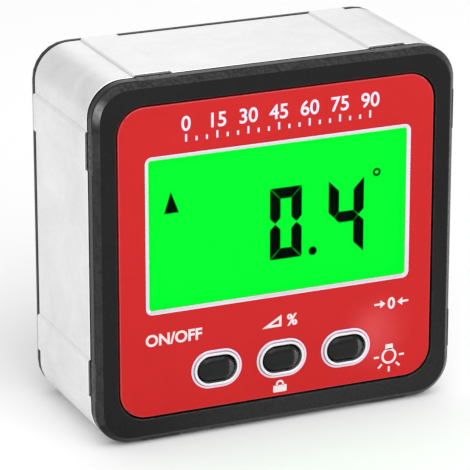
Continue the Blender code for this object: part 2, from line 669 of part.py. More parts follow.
def make_display(clear, glass, white, rubber):
    """Stepped clear pane, liquid crystal cell, backlight and the rubber strip that connects the cell."""
    centre = (WINDOW_SHIFT, WINDOW_Z)
    pane = rounded_rectangle(PANE_HALF_X, PANE_HALF_Z, WINDOW_RADIUS, centre)
    mesh = extruded_mesh("display_pane", [pane], FLOOR_Y, FLOOR_Y + PANE_THICKNESS)
    pane = place_in(PIECES, "display_pane", mesh, at(0, 0, 0))
    raised_x = WINDOW_OPEN_X - SNUG
    raised_z = WINDOW_OPEN_Z - SNUG
    raised = rounded_rectangle(raised_x, raised_z, WINDOW_RADIUS - WINDOW_BEVEL - SNUG, centre)
    middle = FLOOR_Y + PANE_THICKNESS / 2
    combine(pane, "UNION", extruded_mesh("raised_pane", [raised], PANE_FRONT, middle), "raised_pane")
    finish(pane, clear)

    left = WINDOW_SHIFT - LCD_HALF_X
    right = WINDOW_SHIFT + LCD_HALF_X
    middle = LCD_Y + LCD_GLASS
    front_glass = box_mesh("lcd_panel", (left, LCD_Y, LCD_BOTTOM), (right, middle, LCD_TOP))
    panel = place_in(PIECES, "lcd_panel", front_glass, at(0, 0, 0))
    lapped = middle - LCD_GLASS / 2
    rear_glass = box_mesh("rear_glass", (left, lapped, LEDGE_TOP), (right, LCD_BACK, LCD_TOP - LCD_GLASS))
    combine(panel, "UNION", rear_glass, "rear_glass")
    finish(panel, glass)

    low = (left, BACKLIGHT_Y, LEDGE_TOP)
    light = box_mesh("backlight", low, (right, BACKLIGHT_BACK, LCD_TOP))
    bevel_edges(light, SNUG, 1, lambda co: True)
    finish(place_in(PIECES, "backlight", light, at(0, 0, 0)), white)

    strip_top = LEDGE_TOP - CLEARANCE
    strip_front = middle + CLEARANCE
    low = (left + LCD_BORDER, strip_front, strip_top - STRIP_HEIGHT)
    strip = box_mesh("contact_strip", low, (right - LCD_BORDER, BOARD_Y - CLEARANCE, strip_top))
    finish(place_in(PIECES, "contact_strip", strip, at(0, 0, 0)), rubber)


def make_board(board_look, chip_look):
    """Circuit board with notched corners, its controller and the tilt sensor."""
    half_x = SPIGOT_HALF_X - SPIGOT_WALL - BOARD_INSET
    half_z = SPIGOT_HALF_Z - SPIGOT_WALL - BOARD_INSET
    outline = rounded_rectangle(half_x, half_z, WINDOW_RADIUS, (0.0, INNER_Z))
    clear = BOARD_SCREW_SHANK_DIAMETER / 2 + SNUG
    holes = [circle(clear, place, PILOT_STEPS) for place in POST_PLACES]
    mesh = extruded_mesh("main_board", [outline] + holes, BOARD_Y, BOARD_BACK)
    board = place_in(PIECES, "main_board", mesh, at(0, 0, 0))
    notches = [notch_outline(place, BOSS_RADIUS + CLEARANCE) for place in BOSS_PLACES]
    cut = extruded_mesh("corner_notches", notches, BOARD_Y - CUT_MARGIN, BOARD_BACK + CUT_MARGIN)
    combine(board, "DIFFERENCE", cut, "corner_notches")
    finish(board, board_look)

    front = BOARD_BACK + SNUG
    chips = (
        ("controller_chip", CONTROLLER_SIDE, CONTROLLER_HEIGHT, CONTROLLER_X, BAY_HALF_HEIGHT + BAY_WALL),
        ("tilt_sensor", SENSOR_SIDE, SENSOR_HEIGHT, 0.0, 0.0),
    )
    for name, side, height, x, z in chips:
        half = side / 2
        chip = box_mesh(name, (-half, front, -half), (half, front + height, half))
        bevel_edges(chip, SNUG, 1, lambda co: True)
        finish(place_in(PIECES, name, chip, at(x, 0, z)), chip_look)


def notch_outline(centre, reach):
    """Outline of a board notch: round where it faces the board, square where it leaves it."""
    sx = math.copysign(1.0, centre[0])
    sz = math.copysign(1.0, centre[1] - INNER_Z)
    far = 2 * reach
    offsets = arc((0.0, 0.0), reach, 90, 360, 3 * CORNER_STEPS) + [(far, 0.0), (far, far), (0.0, far)]
    return [(centre[0] + sx * x, centre[1] + sz * z) for x, z in offsets]


def make_cells(look):
    """Two AAA cells lying side by side, head to tail."""
    radius = CELL_DIAMETER / 2
    nub = CELL_NUB_DIAMETER / 2
    inset = radius - CELL_EDGE
    profile = [(0, 0), (nub, 0), (nub, CELL_NUB_LENGTH), (inset, CELL_NUB_LENGTH)]
    profile += [(radius, CELL_NUB_LENGTH + CELL_EDGE), (radius, CELL_LENGTH - CELL_EDGE)]
    profile += [(inset, CELL_LENGTH), (0, CELL_LENGTH)]
    mesh = turned_mesh("cell", profile)
    tip = BAY_HALF_LENGTH - SNUG - CONTACT_THICKNESS - CLEARANCE
    for name, side in (("cell_upper", 1), ("cell_lower", -1)):
        turn = (0, 0, -side * math.pi / 2)
        finish(place_in(PIECES, name, mesh, at(-side * tip, CELL_Y, side * CELL_Z), turn), look)


def make_contacts(look):
    """Sprung contacts: a bridge at the right end and two tabbed plates at the left end."""
    plate_x = BAY_HALF_LENGTH - SNUG
    half = CONTACT_HALF
    tab_end = BOARD_BACK + CLEARANCE - CELL_Y
    half_tab = CONTACT_TAB_WIDTH / 2
    tabbed = [(tab_end, half_tab), (tab_end, -half_tab), (-half, -half_tab), (-half, -half)]
    tabbed += [(half, -half), (half, half), (-half, half), (-half, half_tab)]
    plate = extruded_along_x("contact_plate", tabbed, 0.0, CONTACT_THICKNESS)
    for name, side in (("contact_positive", 1), ("contact_negative", -1)):
        finish(place_in(PIECES, name, plate, at(-plate_x, CELL_Y, side * CELL_Z)), look)
    inner = CELL_Z - half
    outer = CELL_Z + half
    joined = [(-half, inner), (-half, outer), (half, outer), (half, -outer)]
    joined += [(-half, -outer), (-half, -inner), (0.0, -inner), (0.0, inner)]
    bridge = extruded_along_x("contact_bridge", joined, -CONTACT_THICKNESS, 0.0)
    finish(place_in(PIECES, "contact_bridge", bridge, at(plate_x, CELL_Y, 0)), look)

    for name, side in (("spring_upper", 1), ("spring_lower", -1)):
        curve = bpy.data.curves.new(name, "CURVE")
        curve.dimensions = "3D"
        curve.bevel_depth = SPRING_WIRE / 2
        curve.bevel_resolution = 2
        curve.use_fill_caps = True
        spline = curve.splines.new("POLY")
        count = SPRING_TURNS * SPRING_STEPS + 1
        spline.points.add(count - 1)
        length = SPRING_ROOM - 2 * SNUG - SPRING_WIRE
        wide = CONTACT_HALF - SPRING_WIRE
        narrow = wide / 2
        for i, point in enumerate(spline.points):
            share = i / (count - 1)
            angle = math.tau * i / SPRING_STEPS
            radius = wide + (narrow - wide) * share
            along = -length * share
            point.co = (along, radius * math.cos(angle), radius * math.sin(angle), 1.0)
        source = place_in(HELPERS, name + "_wire", curve, (0.0, 0.0, 0.0))
        mesh = evaluated_mesh(source)
        bpy.data.objects.remove(source)
        weld(mesh, WELD_DISTANCE)
        start = plate_x - CONTACT_THICKNESS - SNUG - SPRING_WIRE / 2
        turn = (0, 0, 0) if side > 0 else (0, 0, math.pi)
        finish(place_in(PIECES, name, mesh, at(side * start, CELL_Y, side * CELL_Z), turn), look)


def bay_mesh(name, radius, half_length, back):
    """Two side-by-side troughs of one radius, open towards the back, drawn end-on and extruded along X."""
    lean = math.degrees(math.acos(CELL_Z / radius))
    half = CELL_Z + radius
    upper = arc((CELL_Z, 0.0), radius, 0, lean - 180, TROUGH_STEPS)
    lower = arc((-CELL_Z, 0.0), radius, -lean, -180, TROUGH_STEPS)
    heights_and_depths = [(half, back - CELL_Y)] + upper + lower[1:] + [(-half, back - CELL_Y)]
    outline = [(CELL_Y + depth, height) for height, depth in heights_and_depths]
    return extruded_along_x(name, outline, -half_length, half_length)


def make_cover(look):
    """Moulded rear cover with the fluted battery bay, the door's recess and four screw seats."""
    outline = rounded_rectangle(BODY_HALF_X, BODY_HALF_Z, CORNER_RADIUS)
    mesh = extruded_mesh("rear_cover", [outline], COVER_Y, BACK_Y)
    bevel_edges(mesh, COVER_CHAMFER, 1, lambda co: co.y > BACK_Y - COVER_CHAMFER / 2)
    cover = place_in(PIECES, "rear_cover", mesh, at(0, 0, 0))
    lapped = COVER_Y + COVER_THICKNESS / 4
    outer = rounded_rectangle(SPIGOT_HALF_X, SPIGOT_HALF_Z, SPIGOT_RADIUS, (0.0, INNER_Z))
    inner_x = SPIGOT_HALF_X - SPIGOT_WALL
    inner_z = SPIGOT_HALF_Z - SPIGOT_WALL
    inner = rounded_rectangle(inner_x, inner_z, SPIGOT_RADIUS - SPIGOT_WALL, (0.0, INNER_Z))
    spigot = extruded_mesh("spigot", [outer, inner], FRAME_BACK - SPIGOT_LENGTH, lapped)
    combine(cover, "UNION", spigot, "cover_spigot")
    flange_half_x = BAY_HALF_LENGTH + BAY_WALL
    flange_half_z = RECESS_HALF_Z + DOOR_LIP + TONGUE_REACH
    low = (-flange_half_x, COVER_Y - BAY_FLANGE, -flange_half_z)
    flange = box_mesh("flange", low, (flange_half_x, lapped, flange_half_z))
    combine(cover, "UNION", flange, "bay_flange")
    outside = bay_mesh("bay_outside", BAY_RADIUS + BAY_WALL, flange_half_x, COVER_Y - BAY_FLANGE / 2)
    combine(cover, "UNION", outside, "bay_outside")
    inside = bay_mesh("bay_inside", BAY_RADIUS, BAY_HALF_LENGTH, COVER_Y - BAY_FLANGE)
    combine(cover, "DIFFERENCE", inside, "bay_inside")

    mouth = rounded_rectangle(MOUTH_HALF_X, BAY_HALF_HEIGHT, DOOR_CORNER)
    mouth_cut = extruded_mesh("mouth", [mouth], COVER_Y - 2 * BAY_FLANGE, BACK_Y + CUT_MARGIN)
    combine(cover, "DIFFERENCE", mouth_cut, "bay_mouth")
    recess = rounded_rectangle(RECESS_HALF_X, RECESS_HALF_Z, DOOR_CORNER)
    recess_cut = extruded_mesh("recess", [recess], COVER_Y, BACK_Y + CUT_MARGIN)
    combine(cover, "DIFFERENCE", recess_cut, "door_recess")

    slots = []
    half = TONGUE_WIDTH / 2 + CLEARANCE
    low_z = HINGE_Z - TONGUE_REACH - 2 * CLEARANCE
    front = COVER_Y - CLEARANCE - TONGUE_THICKNESS - CLEARANCE - TONGUE_REACH
    high_z = -BAY_HALF_HEIGHT + BAY_WALL
    for x in TONGUE_PLACES:
        slots.append(box_mesh("slot", (x - half, front, low_z), (x + half, COVER_Y, high_z)))
    combine(cover, "DIFFERENCE", joined_mesh("tongue_slots", slots), "tongue_slots")

    tabs = []
    tab_half = CONTACT_TAB_WIDTH / 2 + CLEARANCE
    tab_x = BAY_HALF_LENGTH
    for side in (-1, 1):
        low = (-tab_x, BAY_Y - CUT_MARGIN, side * CELL_Z - tab_half)
        high = (-tab_x + SNUG + CONTACT_THICKNESS + CLEARANCE, CELL_Y, side * CELL_Z + tab_half)
        tabs.append(box_mesh("tab_slot", low, high))
    combine(cover, "DIFFERENCE", joined_mesh("tab_slots", tabs), "tab_slots")

    seats = []
    head = SCREW_HEAD_DIAMETER / 2 + SNUG
    shank = SCREW_SHANK_DIAMETER / 2 + CLEARANCE
    seat_y = BACK_Y - SCREW_HEAD_HEIGHT - SNUG
    for x, z in BOSS_PLACES:
        seat = turned_mesh("seat", [
            (0, COVER_Y - CUT_MARGIN), (shank, COVER_Y - CUT_MARGIN), (shank, seat_y),
            (head, BACK_Y - SNUG), (head, BACK_Y + CUT_MARGIN), (0, BACK_Y + CUT_MARGIN),
        ])
        seat.transform(Matrix.Translation((x, 0, z)))
        seats.append(seat)
    combine(cover, "DIFFERENCE", joined_mesh("screw_seats", seats), "screw_seats")

    scoop = turned_mesh("scoop", [
        (0, BACK_Y - SCOOP_DEPTH), (SCOOP_DIAMETER / 2 - SCOOP_DEPTH, BACK_Y - SCOOP_DEPTH),
        (SCOOP_DIAMETER / 2, BACK_Y), (SCOOP_DIAMETER / 2, BACK_Y + CUT_MARGIN), (0, BACK_Y + CUT_MARGIN),
    ])
    scoop.transform(Matrix.Translation((0, 0, RECESS_HALF_Z)))
    combine(cover, "DIFFERENCE", scoop, "finger_scoop")
    finish(cover, look)


def make_door(look):
    """Clip-in battery door, swung on its lower edge, with tongues, a latch arm and grip grooves."""
    half = DOOR_HALF_X
    outline = rounded_rectangle(half, DOOR_HALF_Z, DOOR_CORNER - CLEARANCE, (0.0, -HINGE_Z))
    mesh = extruded_mesh("battery_door", [outline], -DOOR_THICKNESS, 0.0)
    bevel_edges(mesh, SNUG, 1, lambda co: co.y > -DOOR_THICKNESS / 2)
    door = place_in(PIECES, "battery_door", mesh, at(0, BACK_Y, HINGE_Z))
    inner = COVER_Y - BACK_Y
    tongue_back = inner - CLEARANCE
    tongue_front = tongue_back - TONGUE_THICKNESS
    foot_low = CLEARANCE / 2 + SNUG
    foot_high = foot_low + TONGUE_THICKNESS
    for number, x in enumerate(TONGUE_PLACES):
        left = x - TONGUE_WIDTH / 2
        right = x + TONGUE_WIDTH / 2
        low = (left, tongue_front, foot_low)
        foot = box_mesh("foot", low, (right, -DOOR_THICKNESS / 2, foot_high))
        combine(door, "UNION", foot, f"tongue_foot_{number}")
        low = (left, tongue_front, -TONGUE_REACH)
        toe = box_mesh("toe", low, (right, tongue_back, foot_high - TONGUE_THICKNESS / 4))
        combine(door, "UNION", toe, f"tongue_toe_{number}")
    top = -HINGE_Z + BAY_HALF_HEIGHT - CLEARANCE
    low = (-LATCH_WIDTH / 2, -DOOR_THICKNESS - LATCH_LENGTH, top - LATCH_THICKNESS)
    latch = box_mesh("latch", low, (LATCH_WIDTH / 2, -DOOR_THICKNESS / 2, top))
    combine(door, "UNION", latch, "latch_arm")
    grooves = []
    for i in range(GRIP_COUNT):
        z = -HINGE_Z + DOOR_HALF_Z - GRIP_PITCH * (i + 2)
        outline = stadium(GRIP_LENGTH, GRIP_WIDTH, (0.0, z))
        grooves.append(extruded_mesh("groove", [outline], -GRIP_DEPTH, CUT_MARGIN))
    combine(door, "DIFFERENCE", joined_mesh("grip_grooves", grooves), "grip_grooves")
    finish(door, look)


def make_screws(look):
    """Four countersunk case screws and three pan-head board screws."""
    head = SCREW_HEAD_DIAMETER / 2
    shank = SCREW_SHANK_DIAMETER / 2
    tip = shank / 2
    profile = [(0, -SCREW_LENGTH), (tip, -SCREW_LENGTH), (shank, -SCREW_LENGTH + tip)]
    profile += [(shank, -SCREW_HEAD_HEIGHT), (head, -SNUG), (head, 0), (0, 0)]
    case_mesh = turned_mesh("case_screw", profile, SCREW_STEPS)
    for number, (x, z) in enumerate(BOSS_PLACES, 1):
        screw = place_in(PIECES, f"case_screw_{number}", case_mesh.copy(), at(x, BACK_Y - SNUG, z))
        cut_cross(screw, 0.0)
        finish(screw, look)
    head = BOARD_SCREW_HEAD_DIAMETER / 2
    shank = BOARD_SCREW_SHANK_DIAMETER / 2
    length = BOARD_SCREW_LENGTH
    tall = BOARD_SCREW_HEAD_HEIGHT
    profile = [(0, -length + SNUG), (shank / 2, -length + SNUG), (shank, -length + SNUG + shank / 2)]
    profile += [(shank, 0), (head, 0), (head, tall / 2), (head - tall / 2, tall), (0, tall)]
    board_mesh = turned_mesh("board_screw", profile, SCREW_STEPS)
    for number, (x, z) in enumerate(POST_PLACES, 1):
        screw = place_in(PIECES, f"board_screw_{number}", board_mesh.copy(), at(x, BOARD_BACK + SNUG, z))
        cut_cross(screw, tall)
        finish(screw, look)


def cut_cross(screw, top):
    """Cross recess in a screw's head."""
    for arm, (across, tall) in (("a", (CROSS_SPAN, CROSS_WIDTH)), ("b", (CROSS_WIDTH, CROSS_SPAN))):
        low = (-across / 2, top - CROSS_DEPTH, -tall / 2)
        high = (across / 2, top + CUT_MARGIN, tall / 2)
        combine(screw, "DIFFERENCE", box_mesh("arm", low, high), f"{screw.name}_slot_{arm}")


def main():
    aluminium = material("sand_blasted_aluminium", (0.78, 0.79, 0.80), 0.45, 1.0)
    black = material("black_moulding", (0.03, 0.03, 0.032), 0.55)
    rubber = material("black_button", (0.018, 0.018, 0.02), 0.35)
    red = material("red_plate", (0.62, 0.02, 0.025), 0.35, 0.3)
    steel = material("plated_steel", (0.70, 0.70, 0.68), 0.3, 1.0)
    clear = material("clear_acrylic", (0.9, 0.95, 0.92), 0.05, 0.0, 0.9)
    glass = material("lcd_glass", (0.05, 0.75, 0.12), 0.15)
    white = material("white_light_guide", (0.85, 0.85, 0.82), 0.5)
    board = material("board_green", (0.02, 0.16, 0.06), 0.45)
    chip = material("chip_black", (0.02, 0.02, 0.02), 0.5)
    wrap = material("cell_wrap", (0.12, 0.13, 0.15), 0.35)
    make_frame(aluminium)
    make_magnets(steel)
    make_bezel(black)
    make_plate(red)
    make_buttons(rubber, chip)
    make_display(clear, glass, white, rubber)
    make_board(board, chip)
    make_cells(wrap)
    make_contacts(steel)
    make_cover(black)
    make_door(black)
    make_screws(steel)


main()
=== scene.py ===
"""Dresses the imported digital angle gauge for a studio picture.

Shapes are drawn in millimetres on the gauge's own front: X to the right, Z up from the middle of
the front, and depth counted backwards from the bezel's front face. seat() turns that into the
frame's metres.
"""

import math

import bmesh
import bpy
from mathutils import Matrix, Vector


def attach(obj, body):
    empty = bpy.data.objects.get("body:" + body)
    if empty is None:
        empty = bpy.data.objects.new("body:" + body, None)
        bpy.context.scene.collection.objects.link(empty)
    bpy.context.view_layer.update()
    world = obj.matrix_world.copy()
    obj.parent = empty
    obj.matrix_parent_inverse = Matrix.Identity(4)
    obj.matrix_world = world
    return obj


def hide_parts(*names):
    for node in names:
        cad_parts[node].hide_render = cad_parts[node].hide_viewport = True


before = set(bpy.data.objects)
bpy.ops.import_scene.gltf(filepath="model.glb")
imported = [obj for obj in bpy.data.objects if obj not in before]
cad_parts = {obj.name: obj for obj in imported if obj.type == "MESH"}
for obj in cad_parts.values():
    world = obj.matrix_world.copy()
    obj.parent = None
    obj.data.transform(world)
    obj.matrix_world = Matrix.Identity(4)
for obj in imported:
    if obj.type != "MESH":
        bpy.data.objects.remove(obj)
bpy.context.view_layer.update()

# Camera
# A long lens in front of the gauge, to its left and above it. The place and the lens are fitted to
# the bezel's corners in the photograph.
VIEW_AZIMUTH = math.radians(-23.609)
VIEW_ELEVATION = math.radians(19.127)
VIEW_DISTANCE = 0.468705
VIEW_ASIDE = -0.006133
VIEW_RAISED = 0.001551
VIEW_LENS = 255.8
FRONT_MIDDLE = Vector((0.0, -0.01235, 0.02671))


def linked(name, data):
    """A new object in the scene."""
    made = bpy.data.objects.new(name, data)
    bpy.context.scene.collection.objects.link(made)
    return made


level = math.cos(VIEW_ELEVATION)
back = Vector((level * math.sin(VIEW_AZIMUTH), -level * math.cos(VIEW_AZIMUTH), math.sin(VIEW_ELEVATION)))
right = Vector((math.cos(VIEW_AZIMUTH), math.sin(VIEW_AZIMUTH), 0.0))
up = back.cross(right)
lens = bpy.data.cameras.new("product_lens")
lens.lens = VIEW_LENS
lens.sensor_width = 36.0
lens.clip_start = 0.01
camera = linked("product_camera", lens)
turn = Matrix((right, up, back)).transposed().to_4x4()
place = FRONT_MIDDLE + VIEW_DISTANCE * back + VIEW_ASIDE * right + VIEW_RAISED * up
camera.matrix_world = Matrix.Translation(place) @ turn
bpy.context.scene.camera = camera

# Studio
# White paper in a white room. A big soft lamp stands in front and above, and three smaller ones
# put highlights on the bezel's corner, the keys and the top. Only a soft contact shadow shows.
WORLD_LIGHT = 0.80
PAPER_SIZE = 3.0
PAPER_DROP = 0.00003
LAMPS = (
    ("front_softbox", (-0.02, -0.54, 0.54), (0.0, -0.04, 0.0), 0.80, 3.1),
    ("corner_softbox", (-0.52, -0.35, 0.30), (0.0, 0.0, 0.04), 0.14, 0.30),
    ("side_softbox", (0.47, -0.34, 0.060), (0.0, -0.01, 0.01), 0.26, 0.40),
    ("back_softbox", (0.24, 0.85, 0.38), (0.0, 0.0, 0.05), 0.50, 0.33),
)

room = bpy.data.worlds.new("white_room")
bpy.context.scene.world = room
room.use_nodes = True
sky = room.node_tree.nodes["Background"]
sky.inputs["Color"].default_value = (1.0, 1.0, 1.0, 1.0)
sky.inputs["Strength"].default_value = WORLD_LIGHT
for lamp_name, lamp_place, lamp_aim, lamp_size, lamp_power in LAMPS:
    lamp = bpy.data.lights.new(lamp_name, "AREA")
    lamp.shape = "DISK"
    lamp.size = lamp_size
    lamp.energy = lamp_power
    holder = linked(lamp_name, lamp)
    holder.location = lamp_place
    aim = Vector(lamp_aim) - Vector(lamp_place)
    holder.rotation_euler = aim.to_track_quat("-Z", "Y").to_euler()
bpy.context.scene.view_settings.view_transform = "Standard"

paper_mesh = bpy.data.meshes.new("paper")
half = PAPER_SIZE / 2
corners = [(x, y, -PAPER_DROP) for x, y in ((-half, -half), (half, -half), (half, half), (-half, half))]
paper_mesh.from_pydata(corners, [], [(0, 1, 2, 3)])
paper = linked("paper", paper_mesh)
paper_look = bpy.data.materials.new("white_paper")
paper_look.use_nodes = True
paper_shader = paper_look.node_tree.nodes["Principled BSDF"]
paper_shader.inputs["Base Color"].default_value = (0.95, 0.95, 0.95, 1.0)
paper_shader.inputs["Roughness"].default_value = 0.9
paper_shader.inputs["Specular IOR Level"].default_value = 0.1
paper_mesh.materials.append(paper_look)

# Aluminium body
# A short length of square aluminium extrusion with two flat lands on every side, sawn, blasted and
# clear anodised. The bezel's four bosses run through it and the rear cover's screws clamp it.
BODY_HALF_X = 27.5
BODY_HALF_Z = 26.36
BODY_CORNER = 5.2
BORE_HALF_X = 25.3
BORE_HALF_Z = 23.56
BORE_RAISED = 0.6
BORE_CORNER = 2.4
BODY_FRONT = 2.9
BODY_BACK = 22.95
LAND_WIDTH = 5.7
LAND_HEIGHT = 0.35
LAND_FLANK = 0.20
LAND_GROOVE = 0.05
LAND_GROOVE_DEPTH = 0.16
LAND_EDGE = ((0.05, 0.0), (0.025, 0.05), (0.0, 0.25))
LAND_PLACES_X = 17.75
LAND_PLACES_Z = 16.61
LAND_DRAFT = 0.02
LAND_REACH = 0.3
SIDEWAYS = 0.7
CUT_EDGE = 0.11
CUT_PAST = 1.0
MAGNET_RADIUS = 4.0
MAGNET_HEIGHT = 2.4
MAGNET_FIT = 0.15
MAGNET_PLACES = (-8.0, 8.0)
MAGNET_DEPTH = (BODY_FRONT + BODY_BACK) / 2
MM = 0.001
EVEN = (1.0, 1.0, 1.0)


def seat(x, depth, z):
    """Place in the frame of a point that is drawn on the gauge's front."""
    return FRONT_MIDDLE + MM * Vector((x, depth, z))


def arc(centre, radius, start, end, steps):
    """Points of an arc between two angles in degrees."""
    points = []
    for step in range(steps + 1):
        angle = math.radians(start + (end - start) * step / steps)
        points.append((centre[0] + radius * math.cos(angle), centre[1] + radius * math.sin(angle)))
    return points


def rounded_box(half_x, half_z, radius, centre=(0.0, 0.0), steps=12):
    """Rectangle outline with four round corners."""
    points = []
    for quarter, (sx, sz) in enumerate(((1, 1), (-1, 1), (-1, -1), (1, -1))):
        corner = (centre[0] + sx * (half_x - radius), centre[1] + sz * (half_z - radius))
        points += arc(corner, radius, 90 * quarter, 90 * quarter + 90, steps)
    return points


def turned(points, quarter):
    """Outline turned by quarters of a circle about the middle of the front."""
    c, s = ((1, 0), (0, 1), (-1, 0), (0, -1))[quarter]
    return [(c * x - s * z, s * x + c * z) for x, z in points]


def body_outline(inset=0.0):
    """Outline of the extrusion with its eight lands, drawn in by the saw cut's chamfer."""
    points = []
    radius = BODY_CORNER - inset
    foot = LAND_WIDTH / 2
    top = foot - LAND_FLANK
    for quarter in range(4):
        out, along = (BODY_HALF_X, BODY_HALF_Z) if quarter % 2 == 0 else (BODY_HALF_Z, BODY_HALF_X)
        land = LAND_PLACES_Z if quarter % 2 == 0 else LAND_PLACES_X
        out -= inset
        along -= inset
        side = []
        for middle in (-land, land):
            side.append((out, middle - foot - LAND_GROOVE))
            side.append((out - LAND_GROOVE_DEPTH, middle - foot - LAND_DRAFT))
            for way in (-1, 1):
                rim = [(out + LAND_HEIGHT - drop, middle + way * (top - step)) for drop, step in LAND_EDGE]
                side += rim[::-way]
            side.append((out - LAND_GROOVE_DEPTH, middle + foot + LAND_DRAFT))
            side.append((out, middle + foot + LAND_GROOVE))
        side += arc((out - radius, along - radius), radius, 0, 90, 12)
        points += turned(side, quarter)
    return points


def as_mesh(work, name, look):
    """Ends a bmesh as a mesh of one material."""
    mesh = bpy.data.meshes.new(name)
    work.to_mesh(mesh)
    work.free()
    mesh.materials.append(look)
    return mesh


def evaluated(item):
    """The plain mesh that an object's modifiers or letters come out as."""
    graph = bpy.context.evaluated_depsgraph_get()
    return bpy.data.meshes.new_from_object(item.evaluated_get(graph))


def lofted(name, rings, look, looped=False):
    """Solid through rings of equal point counts, each given as (outline, depth)."""
    work = bmesh.new()
    rows = [[work.verts.new((x, depth, z)) for x, z in outline] for outline, depth in rings]
    pairs = list(zip(rows, rows[1:]))
    if looped:
        pairs.append((rows[-1], rows[0]))
    else:
        work.faces.new(rows[0])
        work.faces.new(rows[-1])
    for low, high in pairs:
        for i in range(len(low)):
            j = (i + 1) % len(low)
            work.faces.new((low[i], low[j], high[j], high[i]))
    bmesh.ops.recalc_face_normals(work, faces=work.faces)
    return as_mesh(work, name, look)


def assembled(name, shells, smooth=35.0):
    """One object in the frame from closed shells drawn in millimetres, smooth up to an angle."""
    work = bmesh.new()
    looks = []
    for shell in shells:
        look = shell.materials[0]
        if look not in looks:
            looks.append(look)
        count = len(work.faces)
        work.from_mesh(shell)
        work.faces.ensure_lookup_table()
        for face in work.faces[count:]:
            face.material_index = looks.index(look)
    bmesh.ops.recalc_face_normals(work, faces=work.faces)
    mesh = bpy.data.meshes.new(name)
    work.to_mesh(mesh)
    work.free()
    mesh.transform(Matrix.Translation(FRONT_MIDDLE) @ Matrix.Scale(MM, 4))
    for look in looks:
        mesh.materials.append(look)
    mesh.shade_smooth()
    mesh.set_sharp_from_angle(angle=math.radians(smooth))
    made = linked(name, mesh)
    even = made.modifiers.new("even_shading", "WEIGHTED_NORMAL")
    even.keep_sharp = True
    made.data = evaluated(made)
    made.modifiers.clear()
    return made


def revolved(name, profile, look, steps=48):
    """Solid turned about the depth axis, from (radius, depth) points that start and end on the axis."""
    work = bmesh.new()
    rows = []
    for radius, depth in profile:
        if radius == 0:
            rows.append([work.verts.new((0.0, depth, 0.0))])
        else:
            ring = arc((0.0, 0.0), radius, 0, 360 - 360 / steps, steps - 1)
            rows.append([work.verts.new((x, depth, z)) for x, z in ring])
    for low, high in zip(rows, rows[1:]):
        for i in range(steps):
            j = (i + 1) % steps
            if len(low) == 1 and len(high) > 1:
                work.faces.new((low[0], high[j], high[i]))
            elif len(high) == 1 and len(low) > 1:
                work.faces.new((low[i], low[j], high[0]))
            elif len(low) > 1:
                work.faces.new((low[i], low[j], high[j], high[i]))
    bmesh.ops.recalc_face_normals(work, faces=work.faces)
    return as_mesh(work, name, look)


def cut_by(mesh, cutters):
    """Takes cutters away from a mesh."""
    target = linked("target", mesh)
    helpers = []
    for cutter in cutters:
        helper = linked("cutter", cutter)
        step = target.modifiers.new("cut", "BOOLEAN")
        step.operation = "DIFFERENCE"
        step.solver = "EXACT"
        step.object = helper
        helpers.append(helper)
    made = evaluated(target)
    for item in helpers + [target]:
        bpy.data.objects.remove(item)
    return made


def spot_of(face):
    """A face's middle on the gauge's front: across, depth and height in millimetres."""
    return (face.center - FRONT_MIDDLE) / MM


def build_nodes(tree, nodes, links):
    """Adds nodes, each a type with its settings and input values, and joins their sockets.

    A link reads "node.socket > node.socket"; a socket is given by its name or its number.
    """
    for name, (kind, settings) in nodes.items():
        node = tree.nodes.new(kind)
        node.name = name
        for key, value in settings.items():
            if isinstance(key, int) or key in node.inputs:
                node.inputs[key].default_value = value
            else:
                setattr(node, key, value)
    for link in links:
        (start, given), (end, taken) = [side.split(".") for side in link.split(" > ")]
        given = int(given) if given.isdigit() else given
        taken = int(taken) if taken.isdigit() else taken
        tree.links.new(tree.nodes[start].outputs[given], tree.nodes[end].inputs[taken])


def node_group(kind, name, takes, gives, nodes, links):
    """Node group with named sockets; where no value is given, its text is the socket's type."""
    kinds = {float: "NodeSocketFloat", int: "NodeSocketInt", tuple: "NodeSocketVector"}
    tree = bpy.data.node_groups.new(name, kind)
    for way, sockets in (("INPUT", takes), ("OUTPUT", gives)):
        for socket, value in sockets.items():
            typed = kinds.get(type(value), value)
            made = tree.interface.new_socket(socket, in_out=way, socket_type=typed)
            if typed != value:
                made.default_value = value
    tree.nodes.new("NodeGroupInput").name = "in"
    tree.nodes.new("NodeGroupOutput").name = "out"
    build_nodes(tree, nodes, links)
    return tree


# Fine surface relief: a stretched noise with pits in it. Sizes are in features per metre.
GRAIN = node_group(
    "ShaderNodeTree", "surface_grain",
    {"Per metre": 6000.0, "Stretch": (1.0, 1.0, 1.0), "Pits": 0.3}, {"Relief": 0.0, "Tone": 0.0},
    {
        "spot": ("ShaderNodeTexCoord", {}),
        "pull": ("ShaderNodeVectorMath", {"operation": "MULTIPLY"}),
        "noise": ("ShaderNodeTexNoise", {"Detail": 3.0, "Roughness": 0.6}),
        "cells": ("ShaderNodeTexVoronoi", {"feature": "SMOOTH_F1"}),
        "mixed": ("ShaderNodeMix", {}),
    },
    (
        "spot.Object > pull.0", "in.Stretch > pull.1", "pull.Vector > noise.Vector",
        "pull.Vector > cells.Vector", "in.Per metre > noise.Scale", "in.Per metre > cells.Scale",
        "in.Pits > mixed.Factor", "noise.Fac > mixed.A", "cells.Distance > mixed.B",
        "mixed.Result > out.Relief", "noise.Fac > out.Tone",
    ),
)
# Slow patches where a surface has been handled or has gathered a little dust.
HANDLING = node_group(
    "ShaderNodeTree", "handling_marks", {"Per metre": 90.0, "Low": 0.35, "High": 0.75}, {"Marks": 0.0},
    {
        "spot": ("ShaderNodeTexCoord", {}),
        "wide": ("ShaderNodeTexNoise", {"Detail": 6.0, "Roughness": 0.65, "Distortion": 0.6}),
        "span": ("ShaderNodeMapRange", {}),
    },
    (
        "spot.Object > wide.Vector", "in.Per metre > wide.Scale", "wide.Fac > span.Value",
        "in.Low > span.From Min", "in.High > span.From Max", "span.Result > out.Marks",
    ),
)


